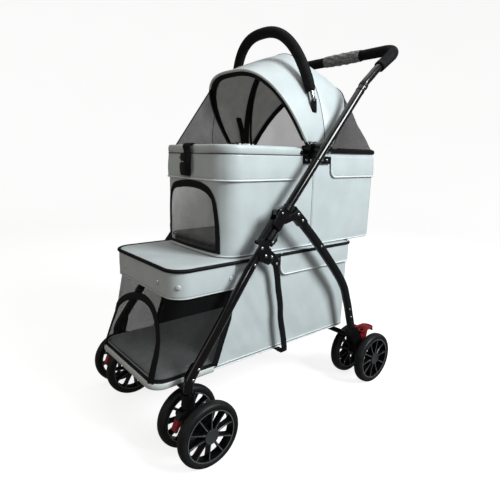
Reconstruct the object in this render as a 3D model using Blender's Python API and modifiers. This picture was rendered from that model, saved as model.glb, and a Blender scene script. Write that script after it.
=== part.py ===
"""Two-tier pet stroller: a folding frame on four twin casters, a lower basket and a canopied upper carrier.

Metres, +Z up, front towards -Y. The origin is on the ground, below the middle of the frame.
Left is +X, the left hand of the person who pushes.
"""

import math

import bmesh
import bpy
from mathutils import Matrix, Vector

SIDES = (("left", 1), ("right", -1))
GAP = 0.0003  # between pieces that touch

# Wheels and axles
WHEEL_RADIUS = 0.080
WHEEL_SIDES = 24
TYRE_WIDTH = 0.026
TYRE_DEPTH = 0.017
TREAD_WIDTH = 0.012
SHOULDER_DROP = 0.006
RIM_WIDTH = 0.023
RIM_BAND = 0.008
SPOKES = 10
SPOKE_WIDTH = 0.008
HUB_RADIUS = 0.0185
HUB_CAP_RISE = 0.002
TWIN_OFFSET = 0.046  # each wheel's centre plane from the leg's plane
TRACK_X = 0.200  # the plane of the legs
AXLE_RADIUS = 0.005
AXLE_SOCKET_DEPTH = 0.019
FRONT_AXLE_Y = -0.312
REAR_AXLE_Y = 0.312
AXLE_Z = WHEEL_RADIUS * math.cos(math.pi / WHEEL_SIDES)  # a flat of the tread stands on the ground

# Front caster yokes
SWIVEL_Y = -0.337
LEG_FOOT_Z = 0.169
YOKE_HEAD_RADIUS = 0.016
YOKE_HEAD_HEIGHT = 0.034
YOKE_HALF = 0.012
YOKE_NECK_Z = 0.140
YOKE_NECK_RADIUS = 0.013
BOSS_RADIUS = 0.0105
BOSS_HALF = TWIN_OFFSET - TYRE_WIDTH / 2 - 0.0008
BORE_GAP = 0.0004
EAR_THICKNESS = 0.003
LEVER_GAP = 0.0005
PIN_RADIUS = 0.0026

# Red levers: swivel lock tab and brake pedal
TAB_PIVOT = (-0.358, 0.124)
TAB_TIP = (-0.374, 0.091)
TAB_EAR_Z = 0.132
TAB_EAR_RADIUS = 0.008
TAB_ROOT_RADIUS = 0.006
TAB_TIP_RADIUS = 0.004
PEDAL_PIVOT = (0.322, 0.123)
PEDAL_FRONT_Y = 0.284
PEDAL_REAR_Y = 0.360
PEDAL_TOP_Z = 0.166
PEDAL_THICKNESS = 0.005
PEDAL_HALF = 0.0225
PEDAL_LIP_Z = 0.126

# Front legs, knuckles and push tubes
TUBE_RADIUS = 0.011
JOINT = (-0.062, 0.5526)  # where the front leg ends and the push tube begins
JOINT_SLOPE = math.radians(49.5)
LEG_STRAIGHT = 0.090
LEG_ROUTE = ((-0.269, 0.2865), (-0.212, 0.3655), (-0.162, 0.4345))
FOLD_PIVOT = (0.0, 0.018)  # along and across the tube, from JOINT
REAR_PIVOT = (0.033, -0.031)
PIVOT_PIN_RADIUS = 0.004
KNUCKLE_RADIUS = 0.0135
KNUCKLE_WALL = 0.003
KNUCKLE_SLEEVE = 0.024
TONGUE_HALF = 0.007
TONGUE_RADIUS = 0.011
TONGUE_NECK = 0.018
TURN_GAP = 0.0035
TONGUE_SWEEP = 0.023  # how far below JOINT the folded tongue reaches
SLEEVE_FRONT = 0.0155  # where the slot for the folded tongue starts, across the tube
SLOT_CLEARANCE = 0.00045  # beside the push tube, between the knuckle's cheeks
LOCK_LENGTH = 0.032
LOCK_START = 0.041  # from JOINT down the leg to the sleeve's upper end
LOCK_WALL = 0.004
PUSH_LENGTH = 0.4514
SOCKET_Z = 0.722
SOCKET_RADIUS = 0.017
SOCKET_DEPTH = 0.0085

# Handle bar and grip
BAR_Y = 0.3868
BAR_Z = 1.0135
BAR_CORNER = 0.050
BAR_KNEE = (0.285, 0.943)
GRIP_RADIUS = 0.0155
BUTTON_RADIUS = 0.0035

# Rear legs and their cross tube
REAR_LEG_DEPTH = 0.0125
REAR_LEG_FLATTEN = 0.76
REAR_LEG_ROUTE = ((0.087, 0.458), (0.190, 0.343), (0.223, 0.276), (0.244, 0.214), (0.260, 0.165))
REAR_FOOT = REAR_LEG_ROUTE[-1]
HOUSING_HALF = 0.013
HOUSING_TOP_RADIUS = 0.0175
HOUSING_FOOT_RADIUS = 0.016
CROSS_TUBE = (0.256, 0.152)
CROSS_TUBE_RADIUS = 0.008

# Bars that carry the basket floor
STRAP_THICKNESS = 0.003
STRAP_WIDTH = 0.024
FLOOR_BAR_THICKNESS = 0.004
FLOOR_BAR_Y = -0.329
FLOOR_BAR_RIVETS = ((-0.3305, 0.203), (-0.3145, 0.224))
HANGER_RIVETS = ((-0.111, 0.474), (-0.096, 0.459), (-0.079, 0.449))
HANGER_PIVOT = (-0.063, 0.430)
HANGER_ROUTE = ((-0.063, 0.430), (-0.050, 0.367), (-0.039, 0.294), (-0.019, 0.182))
HANGER_FOOT_Y = -0.019
RIVET_RADIUS = 0.0042
RIVET_RISE = 0.0015

# Lower basket
BASKET_HALF = 0.1556
BASKET_FLOOR_Z = 0.174
FLOOR_THICKNESS = 0.014
BASKET_FRONT_Y = -0.402
BASKET_REAR_Y = 0.275
BASKET_CORNER = 0.045
BASKET_REAR_CORNER = 0.025
BASKET_WALL = 0.003
MESH_WALL = 0.0015
WINDOW_FOOT_Y = -0.238  # where the side mesh ends at the floor
WINDOW_TOP_Y = -0.176  # and at the hem
DECK_HALF = 0.163
DECK_FRONT_Y = -0.348
DECK_TOP_Z = 0.450
DECK_THICKNESS = 0.013
HEM_BOTTOM_Z = 0.379
HEM_WALL = 0.004
DECK_CORNER = 0.050
DECK_REAR_CORNER = 0.028
DECK_OVERHANG = 0.003
DECK_BEVEL = 0.003
HEM_REAR_Y = -0.178
FACE_KNEE = (-0.366, 0.272)
SIDE_SNAPS_Y = (-0.189, -0.290)
FRONT_SNAP_X = 0.089
SNAP_Z = 0.408
SNAP_RADIUS = 0.0045

# Upper carrier
CARRIER_HALF = 0.147
CARRIER_FRONT_Y = -0.197
CARRIER_REAR_Y = 0.392
CARRIER_FRONT_CORNER = 0.080
CARRIER_REAR_CORNER = 0.045
CARRIER_WALL = 0.003
CARRIER_TOP_Z = 0.708
HEM_Z = 0.636
HEM_OUTSET = 0.002
PIPING_RISE = 0.006
DOOR_LEFT_X = 0.112
DOOR_RIGHT_X = -0.132
DOOR_BOTTOM_Z = 0.466
DOOR_TOP_Z = 0.640
DOOR_CORNER = 0.050
DOOR_GAP = 0.0005
DOOR_INSET = 0.0008
PAD_THICKNESS = 0.020
PAD_CROWN = 0.006
PAD_INSET = 0.006
PAD_EDGE = 0.006
RIM_RADIUS = 0.006
RIM_INSET = 0.0005
HUB_FRONT_Y = 0.046
HUB_REAR_Y = 0.156
HUB_OUTER_X = 0.1600
HUB_TOP_Z = 0.736
HUB_PLATE_Z = 0.682
PLATE_FRONT_Y = 0.060
PLATE_REAR_Y = 0.168
PLATE_RIVETS = 4
HUB_PLATE_THICKNESS = 0.003
BOW_PIN_RADIUS = 0.003
SOCKET_BOSS_RADIUS = 0.011

# Canopy, its bows and the carry handle
BOW_PIVOT_Z = 0.722
FRONT_BOW_Y = 0.058
REAR_BOW_Y = 0.144
RIDGE_BOW_Y = 0.118
RIDGE_FOOT_AHEAD = 0.006
BOW_RADIUS = 0.004
BOW_HALF = 0.1655
FRONT_BOW_TOP = (-0.070, 0.910)
RIDGE_BOW_TOP = (0.100, 0.979)
REAR_BOW_TOP = (0.270, 0.910)
EDGE_BOW_POWER = 2.4  # superellipse power of the front and rear bows
RIDGE_BOW_POWER = 2.0
CLOTH_THICKNESS = 0.002
CLOTH_GAP = 0.0004  # from the bows to the cloth over them
CLOTH_BASE_Z = 0.7365
CLOTH_BULGE = 0.006
SEAM_GAP = 0.0026
NET_SEAM = 0.0015
REAR_NET_START = 0.030  # behind the rear bow's foot
SIDE_NET_AHEAD = 0.009
SIDE_NET_FRONT_Y = -0.172
ARCH_SIDES = 20
BOW_SIDES = 16
CARRY_INSET = 0.002  # from the bows' half width to the carry handle's
CARRY_HALF = BOW_HALF - CARRY_INSET
CARRY_TOP = (0.047, 1.027)
CARRY_FOOT = (0.1545, 0.096)
CARRY_POWER = 3.0
CARRY_TUBE_RADIUS = 0.008
CARRY_STRAP_RADIUS = 0.003
CARRY_EXIT_Z = 0.832
CARRY_BARE = 0.030  # the metal that shows between the cloth and the foam
CARRY_GRIP_RADIUS = 0.014
CARRY_GRIP_Z = CARRY_EXIT_Z + CARRY_BARE
SLOT_Y = 0.080
SLOT_HALF = 0.013
SLOT_REACH = 0.025
SLOT_INNER_X = CARRY_HALF - SLOT_REACH
SLOT_OUTER_X = CARRY_HALF + SLOT_REACH
SLOT_LOW_Z = CARRY_EXIT_Z - 0.020
SLOT_HIGH_Z = CARRY_EXIT_Z + 0.036

# Front strap and buckle
STRAP_X = -0.032
STRAP_HALF = 0.0125
STRAP_WEB = 0.0018
STRAP_LOW_Z = 0.646
STRAP_TOP_Z = 0.7225
BUCKLE_Z = 0.676
BUCKLE_HALF = 0.016
BUCKLE_HEIGHT = 0.040
BUCKLE_THICKNESS = 0.008


def clear_scene():
    for old in list(bpy.data.objects):
        bpy.data.objects.remove(old)


def new_collection(name):
    made = bpy.data.collections.new(name)
    bpy.context.scene.collection.children.link(made)
    return made


def new_material(name, colour, roughness, metallic=0.0):
    made = bpy.data.materials.new(name)
    made.use_nodes = True
    shader = made.node_tree.nodes["Principled BSDF"]
    shader.inputs["Base Color"].default_value = (*colour, 1.0)
    shader.inputs["Roughness"].default_value = roughness
    shader.inputs["Metallic"].default_value = metallic
    return made


clear_scene()
PARTS = new_collection("pet_stroller")
CUTTERS = new_collection("cutters")
GREY_LEATHER = ("grey_leather", (0.56, 0.61, 0.63), 0.45)
BLACK_MESH = ("black_mesh", (0.03, 0.03, 0.03), 0.85)
BLACK_TAPE = ("black_tape", (0.015, 0.015, 0.016), 0.75)
GLOSS_BLACK = ("gloss_black_steel", (0.012, 0.012, 0.013), 0.22)
SATIN_BLACK = ("satin_black_plastic", (0.025, 0.026, 0.028), 0.50)
RUBBER = ("tyre_rubber", (0.02, 0.02, 0.021), 0.62)
FOAM = ("black_foam", (0.02, 0.02, 0.021), 0.90)
RED = ("red_plastic", (0.45, 0.012, 0.02), 0.35)
ZINC = ("zinc_steel", (0.55, 0.56, 0.58), 0.30, 1.0)
DARK_PAD = ("dark_grey_cloth", (0.09, 0.09, 0.10), 0.80)


def place(name, mesh, finish, angle=30, origin=(0.0, 0.0, 0.0)):
    """Link a world-space mesh as a visible part with its own material.

    A moving part takes a point on its joint's axis as its origin.
    """
    mesh.transform(Matrix.Translation(-Vector(origin)))
    made = bpy.data.objects.new(name, mesh)
    made.location = origin
    PARTS.objects.link(made)
    mesh.materials.clear()
    mesh.materials.append(new_material(f"{name}_{finish[0]}", *finish[1:]))
    mesh.shade_smooth()
    mesh.set_sharp_from_angle(angle=math.radians(angle))
    return made


def as_tool(mesh, name="tool"):
    """Link a mesh as a hidden cutter or addition."""
    made = bpy.data.objects.new(name, mesh)
    CUTTERS.objects.link(made)
    made.hide_render = True
    made.display_type = "WIRE"
    return made


def combine(part, operation, mesh):
    """Join the mesh to the part, or cut it out, with a live Boolean."""
    modifier = part.modifiers.new(operation.lower(), "BOOLEAN")
    modifier.operation = operation
    modifier.solver = "EXACT"
    modifier.object = as_tool(mesh, f"{part.name}_{operation.lower()}")
    return part


def fuse(part, *meshes):
    for mesh in meshes:
        combine(part, "UNION", mesh)
    return part


def cut(part, *meshes):
    for mesh in meshes:
        combine(part, "DIFFERENCE", mesh)
    return part


def box(low, high):
    low = Vector(low)
    high = Vector(high)
    mesh = bpy.data.meshes.new("box")
    bm = bmesh.new()
    bmesh.ops.create_cube(bm, size=1.0)
    size = high - low
    bmesh.ops.scale(bm, vec=size, verts=bm.verts)
    bmesh.ops.translate(bm, vec=(low + high) / 2, verts=bm.verts)
    bm.to_mesh(mesh)
    bm.free()
    return mesh


def cylinder(start, end, radius, sides=12, end_radius=None):
    """A closed cylinder or cone frustum between two points."""
    start = Vector(start)
    end = Vector(end)
    axis = end - start
    mesh = bpy.data.meshes.new("cylinder")
    bm = bmesh.new()
    bmesh.ops.create_cone(
        bm,
        cap_ends=True,
        segments=sides,
        radius1=radius,
        radius2=radius if end_radius is None else end_radius,
        depth=axis.length,
    )
    turn = axis.to_track_quat("Z", "Y").to_matrix().to_4x4()
    bm.transform(Matrix.Translation((start + end) / 2) @ turn)
    bm.to_mesh(mesh)
    bm.free()
    return mesh


def mesh_of(curve_object):
    """The evaluated mesh of a curve object, welded, in world space; the curve is removed."""
    CUTTERS.objects.link(curve_object)
    bpy.context.view_layer.update()
    graph = bpy.context.evaluated_depsgraph_get()
    mesh = bpy.data.meshes.new_from_object(curve_object.evaluated_get(graph))
    mesh.transform(curve_object.matrix_world)
    curve = curve_object.data
    bpy.data.objects.remove(curve_object)
    bpy.data.curves.remove(curve)
    bm = bmesh.new()
    bm.from_mesh(mesh)
    bmesh.ops.remove_doubles(bm, verts=bm.verts, dist=0.00001)
    bmesh.ops.recalc_face_normals(bm, faces=bm.faces)
    bm.to_mesh(mesh)
    bm.free()
    return mesh


def tube(points, radius, resolution=2, cyclic=False, radii=None):
    """A round tube along the points; radii are factors of the radius, one a point."""
    curve = bpy.data.curves.new("tube", "CURVE")
    curve.dimensions = "3D"
    curve.bevel_depth = radius
    curve.bevel_resolution = resolution
    curve.use_fill_caps = True
    spline = curve.splines.new("POLY")
    spline.points.add(len(points) - 1)
    for index, (control, point) in enumerate(zip(spline.points, points)):
        control.co = (*point, 1.0)
        control.radius = radii[index] if radii else 1.0
    spline.use_cyclic_u = cyclic
    return mesh_of(bpy.data.objects.new("tube", curve))


def plate(outline, low_x, high_x, holes=()):
    """A flat outline of (y, z) points, extruded along X; each hole is an outline too."""
    curve = bpy.data.curves.new("plate", "CURVE")
    curve.dimensions = "2D"
    curve.fill_mode = "BOTH"
    curve.extrude = (high_x - low_x) / 2
    for points in (outline, *holes):
        spline = curve.splines.new("POLY")
        spline.points.add(len(points) - 1)
        for control, point in zip(spline.points, points):
            control.co = (point[0], point[1], 0.0, 1.0)
        spline.use_cyclic_u = True
    flat = bpy.data.objects.new("plate", curve)
    upright = Matrix(((0, 0, 1, 0), (1, 0, 0, 0), (0, 1, 0, 0), (0, 0, 0, 1)))
    flat.matrix_world = Matrix.Translation(((low_x + high_x) / 2, 0, 0)) @ upright
    return mesh_of(flat)


def circle(centre, radius, sides=12, phase=0.0):
    angles = [phase + 2 * math.pi * index / sides for index in range(sides)]
    return [(centre[0] + radius * math.cos(a), centre[1] + radius * math.sin(a)) for a in angles]


def hull(*discs, sides=10):
    """The outline stretched round discs, each given as (centre, radius)."""
    points = sorted({point for centre, radius in discs for point in circle(centre, radius, sides)})

    def half(ordered):
        chain = []
        for point in ordered:
            while len(chain) > 1 and turns_right(chain[-2], chain[-1], point):
                chain.pop()
            chain.append(point)
        return chain[:-1]

    return half(points) + half(points[::-1])


def turns_right(first, middle, last):
    across = (middle[0] - first[0]) * (last[1] - first[1])
    along = (middle[1] - first[1]) * (last[0] - first[0])
    return across - along <= 1e-9


def smooth(points, steps=3):
    """A Catmull-Rom curve through the points, with so many steps a span."""
    vectors = [Vector(point) for point in points]
    padded = [2 * vectors[0] - vectors[1], *vectors, 2 * vectors[-1] - vectors[-2]]
    found = []
    for a, b, c, d in zip(padded, padded[1:], padded[2:], padded[3:]):
        for step in range(steps):
            t = step / steps
            bend = (2 * a - 5 * b + 4 * c - d) * t * t + (3 * b - a - 3 * c + d) * t * t * t
            found.append((2 * b + (c - a) * t + bend) / 2)
    return [*found, vectors[-1]]


def along(s, t):
    """The (y, z) point s along the tube from JOINT and t across it, towards the front."""
    cosine = math.cos(JOINT_SLOPE)
    sine = math.sin(JOINT_SLOPE)
    return (JOINT[0] + s * cosine - t * sine, JOINT[1] + s * sine + t * cosine)


def in_plane(x, point):
    return (x, point[0], point[1])


def rounded_outline(half, front_y, rear_y, front_corner, rear_corner, steps=5, inset=0.0):
    """A plan outline of (x, y) points, anticlockwise from the rear left, with rounded corners."""
    corners = (
        (half - rear_corner, rear_y - rear_corner, rear_corner, 0.0),
        (-half + rear_corner, rear_y - rear_corner, rear_corner, 90.0),
        (-half + front_corner, front_y + front_corner, front_corner, 180.0),
        (half - front_corner, front_y + front_corner, front_corner, 270.0),
    )
    found = []
    for x, y, radius, start in corners:
        for step in range(steps + 1):
            angle = math.radians(start + 90.0 * step / steps)
            reach = radius - inset
            found.append((x + reach * math.cos(angle), y + reach * math.sin(angle)))
    return found


def loft(rows, closed=False, bottom=False, top=False):
    """A surface through rows of points, all of one length; closed joins each row's ends."""
    mesh = bpy.data.meshes.new("loft")
    bm = bmesh.new()
    grid = [[bm.verts.new(point) for point in row] for row in rows]
    count = len(rows[0])
    for lower, upper in zip(grid, grid[1:]):
        for index in range(count if closed else count - 1):
            after = (index + 1) % count
            bm.faces.new((lower[index], lower[after], upper[after], upper[index]))
    if bottom:
        bm.faces.new(grid[0][::-1])
    if top:
        bm.faces.new(grid[-1])
    bmesh.ops.recalc_face_normals(bm, faces=bm.faces)
    bm.to_mesh(mesh)
    bm.free()
    return mesh


def solid_mesh(mesh, thickness, inward=True):
    """The closed mesh of a surface with a wall on one side of it."""
    shell = bpy.data.objects.new("shell", mesh)
    CUTTERS.objects.link(shell)
    wall = shell.modifiers.new("wall", "SOLIDIFY")
    wall.thickness = thickness
    wall.offset = -1.0 if inward else 1.0
    wall.use_even_offset = True
    bpy.context.view_layer.update()
    graph = bpy.context.evaluated_depsgraph_get()
    made = bpy.data.meshes.new_from_object(shell.evaluated_get(graph))
    bpy.data.objects.remove(shell)
    return made


def rivet(x, point, side, radius=RIVET_RADIUS, rise=RIVET_RISE):
    """A low domed head whose base is sunk 1 mm into the face at x."""
    return cylinder(
        in_plane(x - side * 0.001, point),
        in_plane(x + side * rise, point),
        radius,
        6,
        radius * 0.7,
    )


def tyre_mesh():
    """Half-round tread with a flat crown, turned about the axle."""
    half = TYRE_WIDTH / 2
    bead = WHEEL_RADIUS - TYRE_DEPTH
    profile = (
        (bead, half - 0.002),
        (WHEEL_RADIUS - SHOULDER_DROP, half),
        (WHEEL_RADIUS, TREAD_WIDTH / 2),
        (WHEEL_RADIUS, -TREAD_WIDTH / 2),
        (WHEEL_RADIUS - SHOULDER_DROP, -half),
        (bead, 0.002 - half),
    )
    mesh = bpy.data.meshes.new("tyre")
    edges = [(index, (index + 1) % len(profile)) for index in range(len(profile))]
    mesh.from_pydata([(radius, 0.0, height) for radius, height in profile], edges, [])
    turned = bpy.data.objects.new("tyre", mesh)
    CUTTERS.objects.link(turned)
    screw = turned.modifiers.new("turn", "SCREW")
    screw.axis = "Z"
    screw.steps = WHEEL_SIDES
    screw.render_steps = WHEEL_SIDES
    screw.use_merge_vertices = True
    screw.merge_threshold = 0.0001
    bpy.context.view_layer.update()
    graph = bpy.context.evaluated_depsgraph_get()
    made = bpy.data.meshes.new_from_object(turned.evaluated_get(graph))
    bpy.data.objects.remove(turned)
    flat_down = Matrix.Rotation(math.pi / WHEEL_SIDES, 4, "X")
    made.transform(flat_down @ Matrix.Rotation(math.pi / 2, 4, "Y"))
    return made


def window_outline(index):
    """One gap between two spokes of the rim."""
    middle = 2 * math.pi * (index + 0.5) / SPOKES
    outer = WHEEL_RADIUS - TYRE_DEPTH - GAP - RIM_BAND
    inner = HUB_RADIUS + 0.003
    found = []
    for radius, steps in ((inner, 1), (outer, 2)):
        reach = math.pi / SPOKES - math.asin(SPOKE_WIDTH / 2 / radius)
        turns = [reach * (2 * step / steps - 1) for step in range(steps + 1)]
        if radius == outer:
            turns.reverse()
        found += [(radius * math.cos(middle + t), radius * math.sin(middle + t)) for t in turns]
    return found


def rim_meshes(side):
    """The spoked disc, its outer hub cap, and the axle socket cut from the inner side."""
    radius = WHEEL_RADIUS - TYRE_DEPTH - GAP
    half = RIM_WIDTH / 2
    flat_down = math.pi / WHEEL_SIDES
    disc = plate(
        circle((0, 0), radius, WHEEL_SIDES, flat_down - math.pi / 2),
        -half,
        half,
        [window_outline(index) for index in range(SPOKES)],
    )
    face = side * half
    cap = cylinder((face - side * 0.002, 0, 0), (face + side * HUB_CAP_RISE, 0, 0), HUB_RADIUS, 14)
    socket = cylinder(
        (-face - side * 0.001, 0, 0),
        (-face + side * AXLE_SOCKET_DEPTH, 0, 0),
        AXLE_RADIUS + GAP,
        8,
    )
    return disc, cap, socket


def moved(mesh, x, y, z):
    copy = mesh.copy()
    copy.transform(Matrix.Translation((x, y, z)))
    return copy


def build_wheels():
    tyre = tyre_mesh()
    for end, axle_y in (("front", FRONT_AXLE_Y), ("rear", REAR_AXLE_Y)):
        for side_name, side in SIDES:
            x = side * TRACK_X
            reach = TWIN_OFFSET - RIM_WIDTH / 2 + AXLE_SOCKET_DEPTH - GAP
            axle = cylinder((-reach, 0, 0), (reach, 0, 0), AXLE_RADIUS, 8)
            made = place(f"axle_{end}_{side_name}", axle, ZINC)
            made.location = (x, axle_y, AXLE_Z)
            for place_name, outward in (("outer", side), ("inner", -side)):
                centre = (x + outward * TWIN_OFFSET, axle_y, AXLE_Z)
                name = f"{end}_{side_name}_{place_name}"
                tread = place(f"tyre_{name}", tyre.copy(), RUBBER, 40)
                tread.location = centre
                disc, cap, socket = rim_meshes(outward)
                rim = place(f"rim_{name}", disc, SATIN_BLACK)
                rim.location = centre
                fuse(rim, moved(cap, *centre))
                cut(rim, moved(socket, *centre))


def lever_ears(part, pivot, root, root_radius, x):
    """Two ears on the part that carry a lever's pin, with the slot between them cut clear."""
    inner = YOKE_HALF - EAR_THICKNESS
    ear = hull((pivot, TAB_ROOT_RADIUS + 0.001), (root, root_radius), sides=10)
    for side in (1, -1):
        low, high = sorted((x + side * inner, x + side * YOKE_HALF))
        fuse(part, plate(ear, low, high))
    pin = cylinder(in_plane(x - YOKE_HALF, pivot), in_plane(x + YOKE_HALF, pivot), PIN_RADIUS, 10)
    return fuse(part, pin)


def build_front_casters():
    head_top = LEG_FOOT_Z - GAP
    axle = (FRONT_AXLE_Y, AXLE_Z)
    neck = (SWIVEL_Y, YOKE_NECK_Z)
    for side_name, side in SIDES:
        x = side * TRACK_X
        body = plate(hull((axle, 0.014), (neck, YOKE_NECK_RADIUS)), x - YOKE_HALF, x + YOKE_HALF)
        swivel = (x, SWIVEL_Y, AXLE_Z)
        yoke = place(f"front_caster_yoke_{side_name}", body, SATIN_BLACK, origin=swivel)
        head = cylinder(
            (x, SWIVEL_Y, head_top - YOKE_HEAD_HEIGHT), (x, SWIVEL_Y, head_top), YOKE_HEAD_RADIUS, 16
        )
        fuse(yoke, head)
        boss = cylinder(in_plane(x - BOSS_HALF, axle), in_plane(x + BOSS_HALF, axle), BOSS_RADIUS)
        fuse(yoke, boss)
        lever_ears(yoke, TAB_PIVOT, (SWIVEL_Y, TAB_EAR_Z), TAB_EAR_RADIUS, x)
        reach = BOSS_HALF + 0.002
        bore = cylinder(
            in_plane(x - reach, axle), in_plane(x + reach, axle), AXLE_RADIUS + BORE_GAP, 10
        )
        cut(yoke, bore)
        half = YOKE_HALF - EAR_THICKNESS - LEVER_GAP
        outline = hull((TAB_PIVOT, TAB_ROOT_RADIUS), (TAB_TIP, TAB_TIP_RADIUS), sides=10)
        hole = circle(TAB_PIVOT, PIN_RADIUS + BORE_GAP, 10)
        tab = plate(outline, x - half, x + half, [hole])
        place(f"swivel_lock_{side_name}", tab, RED, origin=in_plane(x, TAB_PIVOT))


def rear_leg_points():
    return [along(*REAR_PIVOT), *REAR_LEG_ROUTE]


def rear_leg_mesh(x, extra=0.0):
    """The oval leg tube: a round tube flattened across the stroller."""
    route = smooth([in_plane(0.0, point) for point in rear_leg_points()], 2)
    mesh = tube(route, REAR_LEG_DEPTH + extra, 2)
    squeeze = (REAR_LEG_DEPTH * REAR_LEG_FLATTEN + extra) / (REAR_LEG_DEPTH + extra)
    mesh.transform(Matrix.Translation((x, 0, 0)) @ Matrix.Diagonal((squeeze, 1, 1, 1)))
    return mesh


def build_rear_frame():
    pivot = along(*REAR_PIVOT)
    axle = (REAR_AXLE_Y, AXLE_Z)
    half = REAR_LEG_DEPTH * REAR_LEG_FLATTEN
    for side_name, side in SIDES:
        x = side * TRACK_X
        turn = in_plane(x, pivot)
        leg = place(f"rear_leg_{side_name}", rear_leg_mesh(x), SATIN_BLACK, 50, turn)
        fuse(leg, plate(circle(pivot, REAR_LEG_DEPTH + 0.0005, 14), x - half, x + half))
        fuse(leg, rivet(x + side * half, REAR_LEG_ROUTE[0], side))
        pin = PIVOT_PIN_RADIUS + BORE_GAP
        cut(leg, cylinder(in_plane(x - 0.02, pivot), in_plane(x + 0.02, pivot), pin, 12))

        outline = hull((axle, HOUSING_FOOT_RADIUS), (REAR_FOOT, HOUSING_TOP_RADIUS))
        housing = place(
            f"rear_wheel_housing_{side_name}",
            plate(outline, x - HOUSING_HALF, x + HOUSING_HALF),
            SATIN_BLACK,
            origin=turn,
        )
        boss = cylinder(in_plane(x - BOSS_HALF, axle), in_plane(x + BOSS_HALF, axle), BOSS_RADIUS)
        fuse(housing, boss)
        lever_ears(housing, PEDAL_PIVOT, axle, 0.012, x)
        reach = BOSS_HALF + 0.002
        cut(
            housing,
            cylinder(in_plane(x - reach, axle), in_plane(x + reach, axle), AXLE_RADIUS + BORE_GAP, 10),
            rear_leg_mesh(x, GAP),
        )
        build_brake_pedal(side_name, x)

    reach = TRACK_X - HOUSING_HALF - GAP
    bar = cylinder(in_plane(-reach, CROSS_TUBE), in_plane(reach, CROSS_TUBE), CROSS_TUBE_RADIUS, 12)
    place("rear_cross_tube", bar, GLOSS_BLACK, origin=in_plane(0.0, pivot))


def build_brake_pedal(side_name, x):
    """A foot plate with a curled rear lip on a shank that turns on its pin."""
    top = PEDAL_TOP_Z
    low = top - PEDAL_THICKNESS
    rear = PEDAL_REAR_Y
    section = [
        (PEDAL_FRONT_Y, low),
        (rear - 0.006, low),
        (rear - 0.002, low - 0.006),
        (rear, PEDAL_LIP_Z),
        (rear + PEDAL_THICKNESS, PEDAL_LIP_Z - 0.001),
        (rear + PEDAL_THICKNESS - 0.001, top - 0.010),
        (rear, top - 0.002),
        (rear - 0.006, top),
        (PEDAL_FRONT_Y + 0.003, top),
        (PEDAL_FRONT_Y, top - 0.002),
    ]
    plate_mesh = plate(section, x - PEDAL_HALF, x + PEDAL_HALF)
    pedal = place(f"brake_pedal_{side_name}", plate_mesh, RED, origin=in_plane(x, PEDAL_PIVOT))
    half = YOKE_HALF - EAR_THICKNESS - LEVER_GAP
    root = (PEDAL_PIVOT[0] + 0.004, low)
    shank = hull((PEDAL_PIVOT, TAB_ROOT_RADIUS), (root, 0.008), sides=10)
    fuse(pedal, plate([p for p in shank if p[1] < top - 0.001], x - half, x + half))
    pin = PIN_RADIUS + BORE_GAP
    cut(pedal, cylinder(in_plane(x - 0.02, PEDAL_PIVOT), in_plane(x + 0.02, PEDAL_PIVOT), pin, 10))


def front_leg_points():
    """The leg rises from the caster, bends back and runs straight into the knuckle."""
    lower = [
        (SWIVEL_Y, LEG_FOOT_Z + 0.010),
        (SWIVEL_Y + 0.009, LEG_FOOT_Z + 0.038),
        *LEG_ROUTE,
        along(-LEG_STRAIGHT, 0.0),
    ]
    foot = in_plane(0.0, (SWIVEL_Y, LEG_FOOT_Z))
    curve = smooth([in_plane(0.0, point) for point in lower], 2)
    return [foot, *curve, in_plane(0.0, along(-GAP, 0.0))]


def slot_mesh(x, half):
    """The space inside a knuckle for the push tube, its tongue and the rear leg's end."""
    reach = 0.09
    above = [along(-GAP, -reach), along(-GAP, reach), along(reach, reach), along(reach, -reach)]
    ahead = [
        along(-TONGUE_SWEEP, SLEEVE_FRONT),
        along(-TONGUE_SWEEP, reach),
        along(GAP, reach),
        along(GAP, SLEEVE_FRONT),
    ]
    return (
        plate(above, x - half, x + half),
        plate(ahead, x - half, x + half),
        plate(circle(along(*FOLD_PIVOT), TONGUE_RADIUS + TURN_GAP, 14), x - half, x + half),
    )


def build_knuckle(side_name, x):
    """Two cheeks that hold both pivot pins, in one piece with a sleeve round the front leg."""
    fold = along(*FOLD_PIVOT)
    rear = along(*REAR_PIVOT)
    sleeve = along(-KNUCKLE_SLEEVE, 0.0)
    inner = (TUBE_RADIUS + GAP) / math.cos(math.pi / 14)
    outer = inner + KNUCKLE_WALL
    outline = hull((fold, KNUCKLE_RADIUS), (rear, KNUCKLE_RADIUS), (sleeve, outer + 0.001), sides=14)
    knuckle = place(f"fold_knuckle_{side_name}", plate(outline, x - outer, x + outer), SATIN_BLACK)
    bore = cylinder(in_plane(x, along(-0.09, 0.0)), in_plane(x, along(0.01, 0.0)), inner, 14)
    cut(knuckle, bore, *slot_mesh(x, TUBE_RADIUS + SLOT_CLEARANCE))
    for pivot in (fold, rear):
        reach = outer + RIVET_RISE
        pin = cylinder(in_plane(x - reach, pivot), in_plane(x + reach, pivot), PIVOT_PIN_RADIUS, 8)
        fuse(knuckle, pin)


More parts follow.
